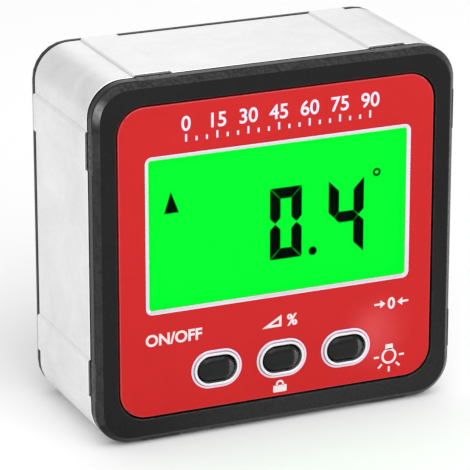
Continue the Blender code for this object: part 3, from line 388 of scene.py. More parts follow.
def surface(name, colours, roughness, grain, relief, handled=90.0, **constants):
    """Principled material: two colours and two roughnesses, mixed by handling marks, and a fine relief.

    grain holds features per metre, the stretch of the pattern and the share of pits; relief is its
    height in metres. What is left goes straight onto the Principled's own sockets.
    """
    made = bpy.data.materials.new(name)
    made.use_nodes = True
    shader = made.node_tree.nodes["Principled BSDF"]
    for socket, value in constants.items():
        shader.inputs[socket.replace("_", " ")].default_value = value
    fine = dict(zip(("Per metre", "Stretch", "Pits"), grain))
    nodes = {
        "marks": ("ShaderNodeGroup", {"node_tree": HANDLING, "Per metre": handled}),
        "grain": ("ShaderNodeGroup", {"node_tree": GRAIN, **fine}),
        "tint": ("ShaderNodeMix", {"data_type": "RGBA", 6: (*colours[0], 1.0), 7: (*colours[1], 1.0)}),
        "matt": ("ShaderNodeMapRange", {"To Min": roughness[0], "To Max": roughness[1]}),
        "even": ("ShaderNodeMath", {"operation": "ADD"}),
        "half_way": ("ShaderNodeMath", {"operation": "MULTIPLY", 1: 0.5}),
        "bump": ("ShaderNodeBump", {"Distance": relief}),
    }
    build_nodes(made.node_tree, nodes, (
        "marks.Marks > even.0", "grain.Tone > even.1", "even.Value > half_way.0",
        "half_way.Value > tint.0", "half_way.Value > matt.Value", "tint.2 > Principled BSDF.Base Color",
        "matt.Result > Principled BSDF.Roughness", "grain.Relief > bump.Height",
        "bump.Normal > Principled BSDF.Normal",
    ))
    return made


anodised = surface(
    "blasted_anodised_aluminium", ((0.68, 0.68, 0.685), (0.95, 0.95, 0.955)), (0.34, 0.50),
    (5200.0, (1.0, 0.14, 1.0), 0.25), 0.000020, 110.0, Metallic=1.0,
)
# A lighter, glossier copy of the anodised finish for the land flanks and the sawn front edge: a painted
# highlight.
painted_highlight_aluminium = surface(
    "painted_highlight_land_flank", ((0.90, 0.90, 0.905), (0.99, 0.99, 0.99)), (0.25, 0.40),
    (5200.0, (1.0, 0.14, 1.0), 0.25), 0.000008, 110.0, Metallic=1.0,
)
# A dark copy for the groove walls beside the top and bottom lands: painted shade.
painted_shade_groove = surface(
    "painted_shade_in_land_groove", ((0.10, 0.10, 0.105), (0.22, 0.22, 0.225)), (0.45, 0.65),
    (5200.0, (1.0, 0.3, 1.0), 0.4), 0.000010, 300.0, Metallic=0.4,
)
bar_rings = [(body_outline(CUT_EDGE), BODY_FRONT), (body_outline(CUT_EDGE / 4), BODY_FRONT + CUT_EDGE / 2)]
bar_rings += [(body_outline(), BODY_FRONT + CUT_EDGE), (body_outline(), BODY_BACK - CUT_EDGE / 2)]
bar_rings.append((body_outline(CUT_EDGE / 2), BODY_BACK))
bar = lofted("bar", bar_rings, anodised)
bore = rounded_box(BORE_HALF_X, BORE_HALF_Z, BORE_CORNER, (0.0, BORE_RAISED))
bore_solid = lofted("bore", [(bore, BODY_FRONT - CUT_PAST), (bore, BODY_BACK + CUT_PAST)], anodised)
pocket_radius = MAGNET_RADIUS + MAGNET_FIT
pocket_end = MAGNET_HEIGHT + MAGNET_FIT
pocket_profile = [(0.0, -CUT_PAST), (pocket_radius, -CUT_PAST)]
pocket_profile += [(pocket_radius, pocket_end), (0.0, pocket_end)]
pockets = []
for magnet_x in MAGNET_PLACES:
    pocket = revolved("pocket", pocket_profile, anodised)
    pocket.transform(Matrix.Rotation(math.pi / 2, 4, "X"))
    pocket.transform(Matrix.Translation((magnet_x, MAGNET_DEPTH, -BODY_HALF_Z)))
    pockets.append(pocket)
body = assembled("aluminium_body", [cut_by(bar, [bore_solid] + pockets)])
body.data.materials.append(painted_highlight_aluminium)
body.data.materials.append(painted_shade_groove)
# Land flanks and the sawn front edge take the painted highlight.
for face in body.data.polygons:
    x, depth, z = spot_of(face)
    on_end = abs(z) > BODY_HALF_Z - LAND_REACH and abs(face.normal.x) > SIDEWAYS
    on_side = abs(x) > BODY_HALF_X - LAND_REACH and abs(face.normal.z) > SIDEWAYS
    sawn_edge = depth < BODY_FRONT + CUT_EDGE and 0.3 < -face.normal.y < 0.95
    if on_end or on_side or sawn_edge:
        face.material_index = 1
    # Groove walls beside the top and bottom lands take the painted shade.
    if on_end and abs(z) < BODY_HALF_Z:
        face.material_index = 2
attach(body, "case")
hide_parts("frame_extrusion")

# Base magnets
# Two nickel-plated disc magnets with broken edges, glued into blind pockets in the thick base,
# flush with the flat between the base lands.
MAGNET_CHAMFER = 0.22

nickel = surface(
    "nickel_plate", ((0.66, 0.65, 0.62), (0.78, 0.77, 0.74)), (0.16, 0.34), (2500.0, EVEN, 0.1), 0.000004,
    220.0, Metallic=1.0,
)
magnet_profile = [(0.0, 0.0), (MAGNET_RADIUS - 2 * MAGNET_CHAMFER, 0.0)]
magnet_profile.append((MAGNET_RADIUS - MAGNET_CHAMFER, 0.02))
magnet_profile += [(MAGNET_RADIUS - 0.05, MAGNET_CHAMFER * 0.7), (MAGNET_RADIUS, MAGNET_CHAMFER * 1.5)]
magnet_profile += [(MAGNET_RADIUS, MAGNET_HEIGHT - MAGNET_CHAMFER)]
magnet_profile += [(MAGNET_RADIUS - MAGNET_CHAMFER, MAGNET_HEIGHT), (0.0, MAGNET_HEIGHT)]
for magnet_node, magnet_x in zip(("magnet_left", "magnet_right"), MAGNET_PLACES):
    disc = revolved(magnet_node + "_disc", magnet_profile, nickel, 64)
    disc.transform(Matrix.Rotation(math.pi / 2, 4, "X"))
    disc.transform(Matrix.Translation((magnet_x, MAGNET_DEPTH, -BODY_HALF_Z)))
    magnet = assembled(magnet_node + "_disc", [disc])
    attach(magnet, "case")
    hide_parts(magnet_node)

# Front bezel
# A moulded black ABS frame with a chamfered border, a pocket for the face plate and a floor that
# holds the window and the keys. Its spigot enters the extrusion, and its bosses take the case screws.
OPENING_HALF_X = 24.3
OPENING_HALF_Z = 22.96
OPENING_CORNER = 4.25
BEZEL_BACK = 2.6
BEZEL_CHAMFER = 0.95
CHAMFER_ROUND = 0.40
OPENING_ROUND = 0.22
FLOOR_FRONT = 1.45
WINDOW_MIDDLE = (0.2, 3.935)
FLOOR_WINDOW = (20.6, 11.825)
WINDOW_CORNER = 1.0
KEY_PLACES = (-9.45, 0.6, 10.65)
KEY_Z = -16.99
KEY_HOLE = (6.15, 4.1)
SPIGOT_HALF_X = 25.0
SPIGOT_HALF_Z = 23.26
SPIGOT_WALL = 0.8
SPIGOT_CORNER = 2.1
SPIGOT_BACK = 4.9
BOSS_RADIUS = 2.6
BOSS_PLACES = ((-21.3, -18.96), (-21.3, 20.16), (21.3, -18.96), (21.3, 20.16))
BOSS_HOLE = (1.15, 15.55)
POST_RADIUS = 1.6
POST_PLACES = ((-18.7, -11.44), (18.7, -11.44), (0.0, 19.91))
POST_BACK = 7.6
POST_HOLE = (0.85, 4.9)
LOWER_SHEEN_PLACE = (0.006, -0.0123, -0.004)
LOWER_SHEEN_REACH = 0.042
LOWER_SHEEN_COLOUR = (0.022, 0.022, 0.022)
CORNER_HIGHLIGHT_PLACE = (-0.0266, -0.0120, 0.0494)
CORNER_HIGHLIGHT_REACH = 0.0024
CORNER_HIGHLIGHT_COLOUR = (0.35, 0.35, 0.355)
BUMP_STEPS = ((-0.04, 0.0, 0.8), (0.055, 0.02, 2.25), (0.06, 0.02, 2.56))
SHADOW_LINE = 2.25
FLOOR_LAP = 1.0
INNER_FRONT = 2.0
BORDER_OUTER = 1.5
BORDER_INNER = 0.5
BORDER_FOOT = 0.6
BACK_ROUND = 0.12
BUMP_ROOT = 0.6
OUTLINE_BAND = 0.2
CORNER_REACH = 48.5


def growing_tree(name, takes, nodes, links, last):
    """Geometry Nodes tree with named inputs that ends in Realize Instances and Set Material."""
    takes = {"Geometry": "NodeSocketGeometry", **takes, "Finish": "NodeSocketMaterial"}
    ends = {"real": ("GeometryNodeRealizeInstances", {}), "coat": ("GeometryNodeSetMaterial", {})}
    links += (
        last + " > real.Geometry", "real.Geometry > coat.Geometry", "in.Finish > coat.Material",
        "coat.Geometry > out.Geometry",
    )
    gives = {"Geometry": "NodeSocketGeometry"}
    return node_group("GeometryNodeTree", name, takes, gives, {**nodes, **ends}, links)


def grown(name, tree, mesh, values):
    """Runs a tree on a mesh with the given named inputs and gives the plain mesh that comes out."""
    source = linked(name, mesh)
    step = source.modifiers.new(name, "NODES")
    step.node_group = tree
    for item in tree.interface.items_tree:
        if item.in_out == "INPUT" and item.name in values:
            step[item.identifier] = values[item.name]
    made = evaluated(source)
    made.name = name
    made.materials.clear()
    made.materials.append(values["Finish"])
    made.polygons.foreach_set("material_index", [0] * len(made.polygons))
    source.modifiers.remove(step)
    bpy.data.objects.remove(source)
    return made


# Fills flat outlines, drawn in millimetres, and pushes them back into a solid.
EXTRUDING = growing_tree(
    "extruded_outline", {"Front": 0.0, "Length": 1.0},
    {
        "wire": ("GeometryNodeMeshToCurve", {}),
        "fill": ("GeometryNodeFillCurve", {"mode": "NGONS"}),
        "push": ("GeometryNodeExtrudeMesh", {"Individual": False}),
        "backwards": ("FunctionNodeInputVector", {"vector": (0.0, 0.0, -1.0)}),
        "flip": ("GeometryNodeFlipFaces", {}),
        "both": ("GeometryNodeJoinGeometry", {}),
        "weld": ("GeometryNodeMergeByDistance", {"Distance": 0.0005}),
        "turn": ("GeometryNodeTransform", {"Rotation": (math.pi / 2, 0.0, 0.0)}),
        "shift": ("ShaderNodeCombineXYZ", {}),
    },
    (
        "in.Geometry > wire.Mesh", "wire.Curve > fill.Curve", "fill.Mesh > push.Mesh",
        "backwards.Vector > push.Offset", "in.Length > push.Offset Scale", "fill.Mesh > flip.Mesh",
        "push.Mesh > both.Geometry", "flip.Mesh > both.Geometry", "both.Geometry > weld.Geometry",
        "weld.Geometry > turn.Geometry", "in.Front > shift.Y", "shift.Vector > turn.Translation",
    ),
    "turn.Geometry",
)


def outlined_solid(name, loops, front, back, look):
    """Solid between two depths from outlines; a loop inside another one is a hole."""
    points = []
    edges = []
    for loop in loops:
        first = len(points)
        points += [(x, z, 0.0) for x, z in loop]
        edges += [(first + i, first + (i + 1) % len(loop)) for i in range(len(loop))]
    wires = bpy.data.meshes.new(name)
    wires.from_pydata(points, edges, [])
    return grown(name, EXTRUDING, wires, {"Front": front, "Length": back - front, "Finish": look})


def stadium(length, height, centre, steps=14):
    """Outline with two straight sides and two half-round ends."""
    radius = height / 2
    reach = length / 2 - radius
    east = arc((centre[0] + reach, centre[1]), radius, -90, 90, steps)
    west = arc((centre[0] - reach, centre[1]), radius, 90, 270, steps)
    return east + west


def filleted(corners, steps=4):
    """Open path with its corners rounded; each corner is (across, depth, radius)."""
    path = [corners[0][:2]]
    for before, corner, after in zip(corners, corners[1:], corners[2:]):
        here = Vector(corner[:2])
        inward = (Vector(before[:2]) - here).normalized()
        outward = (Vector(after[:2]) - here).normalized()
        angle = inward.angle(outward)
        radius = corner[2]
        if radius == 0 or angle > math.radians(179):
            path.append(tuple(here))
            continue
        reach = radius / math.tan(angle / 2)
        middle = here + (inward + outward).normalized() * radius / math.sin(angle / 2)
        first = (here + inward * reach - middle).normalized()
        last = (here + outward * reach - middle).normalized()
        for step in range(steps + 1):
            path.append(tuple(middle + radius * first.slerp(last, step / steps)))
    path.append(corners[-1][:2])
    return path


def on_outline(x, z):
    """Whether a place lies on the outside of the case, seen from the front."""
    on_side = abs(x) > BODY_HALF_X - OUTLINE_BAND or abs(z) > BODY_HALF_Z - OUTLINE_BAND
    return on_side or abs(x) + abs(z) > CORNER_REACH


def land_bumps(look):
    """The eight low ramps that lead along the bezel's sides up to the lands."""
    shells = []
    foot = LAND_WIDTH / 2
    for quarter in range(4):
        out = BODY_HALF_X if quarter % 2 == 0 else BODY_HALF_Z
        land = LAND_PLACES_Z if quarter % 2 == 0 else LAND_PLACES_X
        for middle in (-land, land):
            rings = []
            for height, narrower, depth in BUMP_STEPS:
                low = middle - foot + narrower
                high = middle + foot - narrower
                root = out - BUMP_ROOT
                ring = [(root, low), (out + height, low), (out + height, high), (root, high)]
                rings.append((turned(ring, quarter), depth))
            shells.append(lofted("bump", rings, look))
    return shells


# A soft round patch about a place, broken up by noise, for light painted into a surface's colour.
LIGHT_PATCH = node_group(
    "ShaderNodeTree", "painted_light_patch",
    {"Place": (0.0, 0.0, 0.0), "Reach": 0.005, "Amount": 0.5, "Per metre": 200.0}, {"Rubbed": 0.0},
    {
        "spot": ("ShaderNodeTexCoord", {}),
        "apart": ("ShaderNodeVectorMath", {"operation": "DISTANCE"}),
        "fade": ("ShaderNodeMapRange", {"interpolation_type": "SMOOTHERSTEP", "To Min": 1.0, "To Max": 0.0}),
        "uneven": ("ShaderNodeTexNoise", {"Detail": 3.0}),
        "broken": ("ShaderNodeMath", {"operation": "MULTIPLY"}),
        "amount": ("ShaderNodeMath", {"operation": "MULTIPLY", "use_clamp": True}),
    },
    (
        "spot.Object > apart.0", "in.Place > apart.1", "apart.Value > fade.Value",
        "in.Reach > fade.From Max", "spot.Object > uneven.Vector", "in.Per metre > uneven.Scale",
        "fade.Result > broken.0", "uneven.Fac > broken.1", "broken.Value > amount.0",
        "in.Amount > amount.1", "amount.Value > out.Rubbed",
    ),
)


def patched(look, spot, reach, colour, amount, per_metre):
    """Mixes a painted patch of light, in another colour, into a material, in a node named patch."""
    values = {"Place": spot, "Reach": reach, "Amount": amount, "Per metre": per_metre}
    nodes = {
        "rubbed": ("ShaderNodeGroup", {"node_tree": LIGHT_PATCH, **values}),
        "patch": ("ShaderNodeMix", {"data_type": "RGBA", 7: (*colour, 1.0)}),
    }
    links = ("rubbed.Rubbed > patch.0", "tint.2 > patch.6", "patch.2 > Principled BSDF.Base Color")
    build_nodes(look.node_tree, nodes, links)


black_abs = surface(
    "black_abs", ((0.002, 0.002, 0.0025), (0.008, 0.008, 0.0085)), (0.22, 0.34), (3600.0, EVEN, 0.5),
    0.00006, 75.0, Specular_IOR_Level=0.17,
)
# A lighter patch low on the bezel's front: painted reflected light.
patched(black_abs, LOWER_SHEEN_PLACE, LOWER_SHEEN_REACH, LOWER_SHEEN_COLOUR, 1.5, 2500.0)
# A lighter, glossier black for the chamfer, the opening's edge and the land ramps: partly wear, partly a
# painted highlight where these faces catch the light.
worn_and_lit_abs = surface(
    "black_abs_worn_and_lit_edge", ((0.000, 0.000, 0.0005), (0.040, 0.040, 0.041)), (0.20, 0.40),
    (1900.0, EVEN, 0.6), 0.00020, 420.0, Specular_IOR_Level=0.24,
)
# A light patch on the chamfer at the top left corner: a painted highlight.
patched(worn_and_lit_abs, CORNER_HIGHLIGHT_PLACE, CORNER_HIGHLIGHT_REACH, CORNER_HIGHLIGHT_COLOUR, 1.1, 900.0)
# A darker black without gloss for the rear strip of the bezel's sides: a painted shadow line beside the seam
# to the aluminium.
painted_shadow_black = surface(
    "black_abs_painted_shadow_line", ((0.001, 0.001, 0.0012), (0.003, 0.003, 0.0032)), (0.55, 0.75),
    (3600.0, EVEN, 0.5), 0.00002, 75.0, Specular_IOR_Level=0.0,
)
outer_path = filleted([
    (BORDER_OUTER, 0.0, 0), (BEZEL_CHAMFER, 0.0, CHAMFER_ROUND), (0.0, BEZEL_CHAMFER, CHAMFER_ROUND),
    (0.0, SHADOW_LINE, 0), (0.0, BEZEL_BACK, BACK_ROUND), (BORDER_FOOT, BEZEL_BACK, 0),
])
inner_path = filleted([
    (BORDER_FOOT, BEZEL_BACK, 0), (0.0, BEZEL_BACK, 0), (0.0, 0.0, OPENING_ROUND), (BORDER_INNER, 0.0, 0),
])
bezel_rings = []
for inset, depth in outer_path:
    outline = rounded_box(BODY_HALF_X - inset, BODY_HALF_Z - inset, BODY_CORNER - inset)
    bezel_rings.append((outline, depth))
for outset, depth in inner_path:
    outline = rounded_box(OPENING_HALF_X + outset, OPENING_HALF_Z + outset, OPENING_CORNER + outset)
    bezel_rings.append((outline, depth))
bezel_shells = [lofted("border", bezel_rings, black_abs, looped=True)]
floor_sizes = (OPENING_HALF_X, OPENING_HALF_Z, OPENING_CORNER)
floor_edge = rounded_box(*(size + FLOOR_LAP for size in floor_sizes))
floor_holes = [rounded_box(*FLOOR_WINDOW, WINDOW_CORNER, WINDOW_MIDDLE)]
floor_holes += [stadium(*KEY_HOLE, (key_x, KEY_Z)) for key_x in KEY_PLACES]
floor_depths = (FLOOR_FRONT, BEZEL_BACK - 0.02)
bezel_shells.append(outlined_solid("floor", [floor_edge] + floor_holes, *floor_depths, black_abs))
spigot_sizes = (SPIGOT_HALF_X, SPIGOT_HALF_Z, SPIGOT_CORNER)
spigot_loops = [rounded_box(*spigot_sizes, (0.0, BORE_RAISED))]
spigot_loops.append(rounded_box(*(size - SPIGOT_WALL for size in spigot_sizes), (0.0, BORE_RAISED)))
bezel_shells.append(outlined_solid("spigot", spigot_loops, INNER_FRONT, SPIGOT_BACK, black_abs))
bezel_shells += land_bumps(worn_and_lit_abs)
for places, radius, end, (hole, hole_floor) in (
    (BOSS_PLACES, BOSS_RADIUS, BODY_BACK, BOSS_HOLE),
    (POST_PLACES, POST_RADIUS, POST_BACK, POST_HOLE),
):
    profile = [(0.0, INNER_FRONT), (radius, INNER_FRONT), (radius, end)]
    profile += [(hole, end), (hole, hole_floor), (0.0, hole_floor)]
    for x, z in places:
        post = revolved("post", profile, black_abs, 32)
        post.transform(Matrix.Translation((x, 0.0, z)))
        bezel_shells.append(post)
bezel = assembled("front_bezel_moulding", bezel_shells)
bezel.data.materials.append(painted_shadow_black)
for face in bezel.data.polygons:
    x, depth, z = spot_of(face)
    outward = face.normal.dot(face.center - FRONT_MIDDLE) > 0
    flat_chamfer = 0.62 < -face.normal.y < 0.79 and outward and face.normal.z > -0.25
    opening_edge = 0.15 < -face.normal.y < 0.97 and not outward
    if depth < BEZEL_CHAMFER and (flat_chamfer or opening_edge):
        face.material_index = 1
    # The rear strip of the sides takes the painted shadow line.
    if on_outline(x, z) and outward and SHADOW_LINE < depth < BEZEL_BACK:
        face.material_index = 2
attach(bezel, "case")
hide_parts("front_bezel")

# Face plate
# A 1 mm aluminium plate, sprayed glossy red and then cut bright: a narrow bevel round the window and
# a raised rim round each key hole. It is glued onto the bezel's floor.
PLATE_HALF_X = 24.05
PLATE_HALF_Z = 22.71
PLATE_CORNER = 4.0
PLATE_FRONT = 0.15
PLATE_BACK = 1.15
PLATE_EDGE = 0.16
PLATE_RIM = (23.0, 21.5)
ROW_TOP = -10.0
WINDOW_OUTER = (20.3, 11.525)
BRIGHT_WIDTH = 0.65
BRIGHT_DEPTH = 0.12
RIM_LENGTH = 7.75
RIM_HEIGHT = 5.7
RIM_TOP = -0.15
PLATE_SHEEN_PLACE = (0.0152, -0.0122, 0.0114)
PLATE_SHEEN_REACH = 0.0072
PLATE_SHEEN_COLOUR = (0.66, 0.10, 0.11)
PLATE_SHEEN_AMOUNT = 0.6
CUT_GRAIN = (3800.0, (0.15, 1.0, 1.0), 0.0)

red_paint = surface(
    "red_lacquer", ((0.455, 0.0060, 0.0070), (0.540, 0.0100, 0.0110)), (0.30, 0.40), (1500.0, EVEN, 0.15),
    0.000006, 45.0, Specular_IOR_Level=0.16, Coat_Weight=0.08, Coat_Roughness=0.15,
)
# A paler patch beside the right-hand key: a painted sheen.
patched(red_paint, PLATE_SHEEN_PLACE, PLATE_SHEEN_REACH, PLATE_SHEEN_COLOUR, PLATE_SHEEN_AMOUNT, 120.0)
# The light that the paint throws onto the paper is greyed, as a white-balanced product shot shows it.
grey_bounce = {
    "ray": ("ShaderNodeLightPath", {}),
    "no_bounce": ("ShaderNodeMix", {"data_type": "RGBA", 7: (0.10, 0.10, 0.10, 1.0)}),
}
build_nodes(red_paint.node_tree, grey_bounce, (
    "ray.Is Diffuse Ray > no_bounce.0", "patch.2 > no_bounce.6", "no_bounce.2 > Principled BSDF.Base Color",
))
# A paler, glossier copy of the red for the plate's rounded rim: a painted highlight along the edge.
red_edge_highlight = surface(
    "red_lacquer_painted_edge_highlight", ((0.45, 0.026, 0.030), (0.53, 0.040, 0.045)), (0.22, 0.32), (1500.0, EVEN, 0.15),
    0.000004, 90.0, Specular_IOR_Level=0.5, Coat_Weight=0.3, Coat_Roughness=0.12,
)
bright_cut = surface(
    "bright_cut_aluminium", ((0.76, 0.74, 0.78), (0.88, 0.86, 0.90)), (0.22, 0.32), CUT_GRAIN, 0.000001,
    130.0, Metallic=0.85,
)
outer_cut = surface(
    "lavender_cut_line", ((0.86, 0.62, 0.78), (0.96, 0.74, 0.90)), (0.24, 0.36), CUT_GRAIN, 0.000001,
    130.0, Metallic=0.7,
)
bevel_cut = surface(
    "window_bevel_aluminium", ((0.66, 0.64, 0.68), (0.78, 0.76, 0.80)), (0.22, 0.32), CUT_GRAIN, 0.000001,
    130.0, Metallic=0.85,
)
# A darker copy of the bright cut for the outer slope of each key's rim: painted shade.
painted_shade_rim_slope = surface(
    "grey_painted_shade_rim_slope", ((0.32, 0.26, 0.31), (0.48, 0.40, 0.46)), (0.30, 0.42), CUT_GRAIN, 0.000001, 130.0,
    Metallic=0.8,
)


def softened(mesh, width, segments, low=-100.0, high=100.0, angle=50.0):
    """Rounds the sharp edges that lie between two depths."""
    work = bmesh.new()
    work.from_mesh(mesh)
    bmesh.ops.recalc_face_normals(work, faces=work.faces)
    edges = []
    for edge in work.edges:
        if edge.is_manifold and edge.calc_face_angle() > math.radians(angle):
            if all(low < vert.co.y < high for vert in edge.verts):
                edges.append(edge)
    bmesh.ops.bevel(work, geom=edges, offset=width, segments=segments, profile=0.5, affect="EDGES")
    work.to_mesh(mesh)
    work.free()
    return mesh


def nearest_key(x):
    """The key whose middle is nearest to a place along the row."""
    return min(KEY_PLACES, key=lambda key_x: abs(key_x - x))


plate_edge = rounded_box(PLATE_HALF_X, PLATE_HALF_Z, PLATE_CORNER)
plate_holes = [rounded_box(*WINDOW_OUTER, WINDOW_CORNER, WINDOW_MIDDLE)]
plate_holes += [stadium(RIM_LENGTH, RIM_HEIGHT, (key_x, KEY_Z)) for key_x in KEY_PLACES]
plate_solid = outlined_solid("plate", [plate_edge] + plate_holes, PLATE_FRONT, PLATE_BACK, red_paint)
plate_shells = [softened(plate_solid, PLATE_EDGE, 3, high=PLATE_FRONT + 0.01)]
bright_path = filleted([
    (0.3, PLATE_BACK, 0), (0.0, PLATE_BACK, 0), (0.0, PLATE_FRONT - 0.01, 0.01),
    (0.14, PLATE_FRONT - 0.01, 0.02), (0.55, PLATE_FRONT + BRIGHT_DEPTH, 0.05),
    (BRIGHT_WIDTH, PLATE_FRONT + 0.3, 0), (BRIGHT_WIDTH, PLATE_BACK, 0), (0.3, PLATE_BACK, 0),
], 3)
bright_rings = []
for inset, depth in bright_path[:-1]:
    sizes = [size - inset for size in WINDOW_OUTER]
    bright_rings.append((rounded_box(*sizes, WINDOW_CORNER - inset, WINDOW_MIDDLE), depth))
plate_shells.append(lofted("bright_bevel", bright_rings, bright_cut, looped=True))
rim_path = filleted([
    (0.4, PLATE_BACK, 0), (0.0, PLATE_BACK, 0), (0.0, PLATE_FRONT - 0.03, 0.02),
    (0.27, PLATE_FRONT - 0.03, 0.02), (0.45, RIM_TOP, 0.05), (0.82, RIM_TOP, 0.10),
    (0.82, PLATE_BACK, 0), (0.4, PLATE_BACK, 0),
], 3)
for key_x in KEY_PLACES:
    rim_rings = []
    for inset, depth in rim_path[:-1]:
        rim_rings.append((stadium(RIM_LENGTH - 2 * inset, RIM_HEIGHT - 2 * inset, (key_x, KEY_Z), 20), depth))
    plate_shells.append(lofted("rim", rim_rings, bright_cut, looped=True))
plate = assembled("red_face_plate", plate_shells)
for look in (red_edge_highlight, outer_cut, painted_shade_rim_slope, bevel_cut):
    plate.data.materials.append(look)
for face in plate.data.polygons:
    x, depth, z = spot_of(face)
    at_rim = abs(x) > PLATE_RIM[0] or abs(z) > PLATE_RIM[1]
    # The plate's rounded rim takes the painted edge highlight.
    if face.material_index == 0 and 0.2 < -face.normal.y < 0.97 and at_rim:
        face.material_index = 2
    if face.material_index == 1 and z > ROW_TOP:
        face.material_index = 3 if -face.normal.y > 0.985 else 5
    if face.material_index == 1 and depth < PLATE_FRONT:
        tilted = -face.normal.y < 0.93
        outward = face.normal.dot(face.center - seat(nearest_key(x), 0, KEY_Z)) > 0
        # The outer slope of each key's rim takes the painted shade.
        if tilted and outward and depth > RIM_TOP + 0.03:
            face.material_index = 4
        elif not tilted and depth > RIM_TOP + 0.1:
            face.material_index = 3
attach(plate, "case")
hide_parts("face_plate")

# Printing on the plate
# Pale pink ink, screen printed. An angle scale fills the heading's place; each key has its use
# beside it as a plain sign, and the right-hand key has a small lamp, because it also lights the display.
INK_FRONT = 0.13
INK_BACK = 0.17
SCALE_MIDDLE = 0.05
SCALE_FOOT = 17.1
SCALE_HALF = 14.0
SCALE_ANGLES = range(0, 91, 15)
NUMBER_SIZE = 2.95
NUMBER_BOLD = 0.045
NUMBER_GAP = 0.55
TICK_COUNT = 19
TICK_WIDTH = 0.30
TICK_LONG = 1.05
TICK_SHORT = 0.62
SIGN_SIZE = 2.35
SIGN_BOLD = 0.065
ON_OFF_PLACE = (-15.95, -12.15)
PERCENT_PLACE = (0.75, -12.15)
PERCENT_ASIDE = 1.45
SLOPE = (((-3.2, 0.0), (-0.2, 0.0), (-0.2, 1.75)), ((-1.85, 0.38), (-0.58, 1.12), (-0.58, 0.38)))
LOCK_PLACE = (0.35, -22.1)
LOCK_BODY = (1.05, 0.52)
LOCK_CORNER = 0.15
LOCK_ARCH = (0.62, 0.34)
ARCH_LAP = 0.1
ARCH_LEG = 0.25
ZERO_PLACE = (17.85, -12.0)
ARROW = ((0.95, 0.85), (1.75, 1.45), (1.75, 1.0), (2.7, 1.0), (2.7, 0.7), (1.75, 0.7), (1.75, 0.25))
LAMP_PLACE = (17.6, -19.3)
LAMP_RADIUS = 1.2
LAMP_STROKE = 0.34
LAMP_CAP = (0.6, 0.42, 0.12)
LAMP_CAP_UP = 1.42
LAMP_RAYS = (0, 180, 225, 270, 315)
RAY_START = 1.6
RAY_END = 2.4
RAY_HALF_WIDTH = 0.15

ink = surface(
    "pale_screen_ink", ((0.70, 0.58, 0.61), (0.79, 0.68, 0.71)), (0.45, 0.60), (3000.0, EVEN, 0.2),
    0.000003, 150.0, Specular_IOR_Level=0.3,
)
scale_ink = surface(
    "pale_lavender_ink", ((0.63, 0.58, 0.69), (0.72, 0.68, 0.78)), (0.45, 0.60), (3000.0, EVEN, 0.2),
    0.000003, 150.0, Specular_IOR_Level=0.3,
)


def welded(mesh):
    """Joins the points of a mesh that lie on each other."""
    work = bmesh.new()
    work.from_mesh(mesh)
    bmesh.ops.remove_doubles(work, verts=work.verts, dist=0.0005)
    work.to_mesh(mesh)
    work.free()
    return mesh


def lettered(text, size, x, z, bold, look):
    """Solid letters with their foot at a place on the front."""
    curve = bpy.data.curves.new(text, "FONT")
    curve.body = text
    curve.size = size
    curve.align_x = "CENTER"
    curve.offset = bold
    curve.extrude = (INK_BACK - INK_FRONT) / 2
    curve.resolution_u = 6
    source = linked(text, curve)
    mesh = welded(evaluated(source))
    bpy.data.objects.remove(source)
    mesh.transform(Matrix.Rotation(math.pi / 2, 4, "X"))
    mesh.transform(Matrix.Translation((x, (INK_FRONT + INK_BACK) / 2, z)))
    mesh.materials.clear()
    mesh.materials.append(look)
    return mesh


# Stands ticks in a row, every third one long, with their feet on one line.
TICKING = growing_tree(
    "scale_ticks",
    {"Count": 19, "Half length": 13.6, "Long": 1.0, "Short": 0.6, "Width": 0.2, "Thickness": 0.04},
    {
        "line": ("GeometryNodeMeshLine", {"mode": "END_POINTS"}),
        "start": ("ShaderNodeCombineXYZ", {}),
        "end": ("ShaderNodeCombineXYZ", {}),
        "minus": ("ShaderNodeMath", {"operation": "MULTIPLY", 1: -1.0}),
        "number": ("GeometryNodeInputIndex", {}),
        "third": ("ShaderNodeMath", {"operation": "MODULO", 1: 3.0}),
        "is_long": ("ShaderNodeMath", {"operation": "LESS_THAN", 1: 0.5}),
        "height": ("ShaderNodeMix", {}),
        "block": ("GeometryNodeMeshCube", {"Size": (1.0, 1.0, 1.0)}),
        "lifted": ("GeometryNodeTransform", {"Translation": (0.0, 0.0, 0.5)}),
        "size": ("ShaderNodeCombineXYZ", {}),
        "put": ("GeometryNodeInstanceOnPoints", {}),
    },
    (
        "in.Half length > minus.0", "minus.Value > start.X", "in.Half length > end.X",
        "in.Count > line.Count", "start.Vector > line.Start Location", "end.Vector > line.Offset",
        "number.Index > third.0", "third.Value > is_long.0", "is_long.Value > height.Factor",
        "in.Short > height.A", "in.Long > height.B", "block.Mesh > lifted.Geometry",
        "line.Mesh > put.Points", "lifted.Geometry > put.Instance", "in.Width > size.X",
        "in.Thickness > size.Y", "height.Result > size.Z", "size.Vector > put.Scale",
    ),
    "put.Instances",
)
tick_values = {"Count": TICK_COUNT, "Half length": SCALE_HALF, "Long": TICK_LONG, "Short": TICK_SHORT}
tick_values.update({"Width": TICK_WIDTH, "Thickness": INK_BACK - INK_FRONT, "Finish": scale_ink})
ticks = grown("ticks", TICKING, bpy.data.meshes.new("ticks"), tick_values)
ticks.transform(Matrix.Translation((SCALE_MIDDLE, (INK_FRONT + INK_BACK) / 2, SCALE_FOOT)))
scale_shells = [ticks]
for index, angle in enumerate(SCALE_ANGLES):
    number_x = SCALE_MIDDLE - SCALE_HALF + 2 * SCALE_HALF * index / (len(SCALE_ANGLES) - 1)
    number_z = SCALE_FOOT + TICK_LONG + NUMBER_GAP
    scale_shells.append(lettered(str(angle), NUMBER_SIZE, number_x, number_z, NUMBER_BOLD, scale_ink))
scale = assembled("printed_angle_scale", scale_shells)
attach(scale, "case")


def printed(name, loops):
    """Flat ink from outlines."""
    return outlined_solid(name, loops, INK_FRONT, INK_BACK, ink)


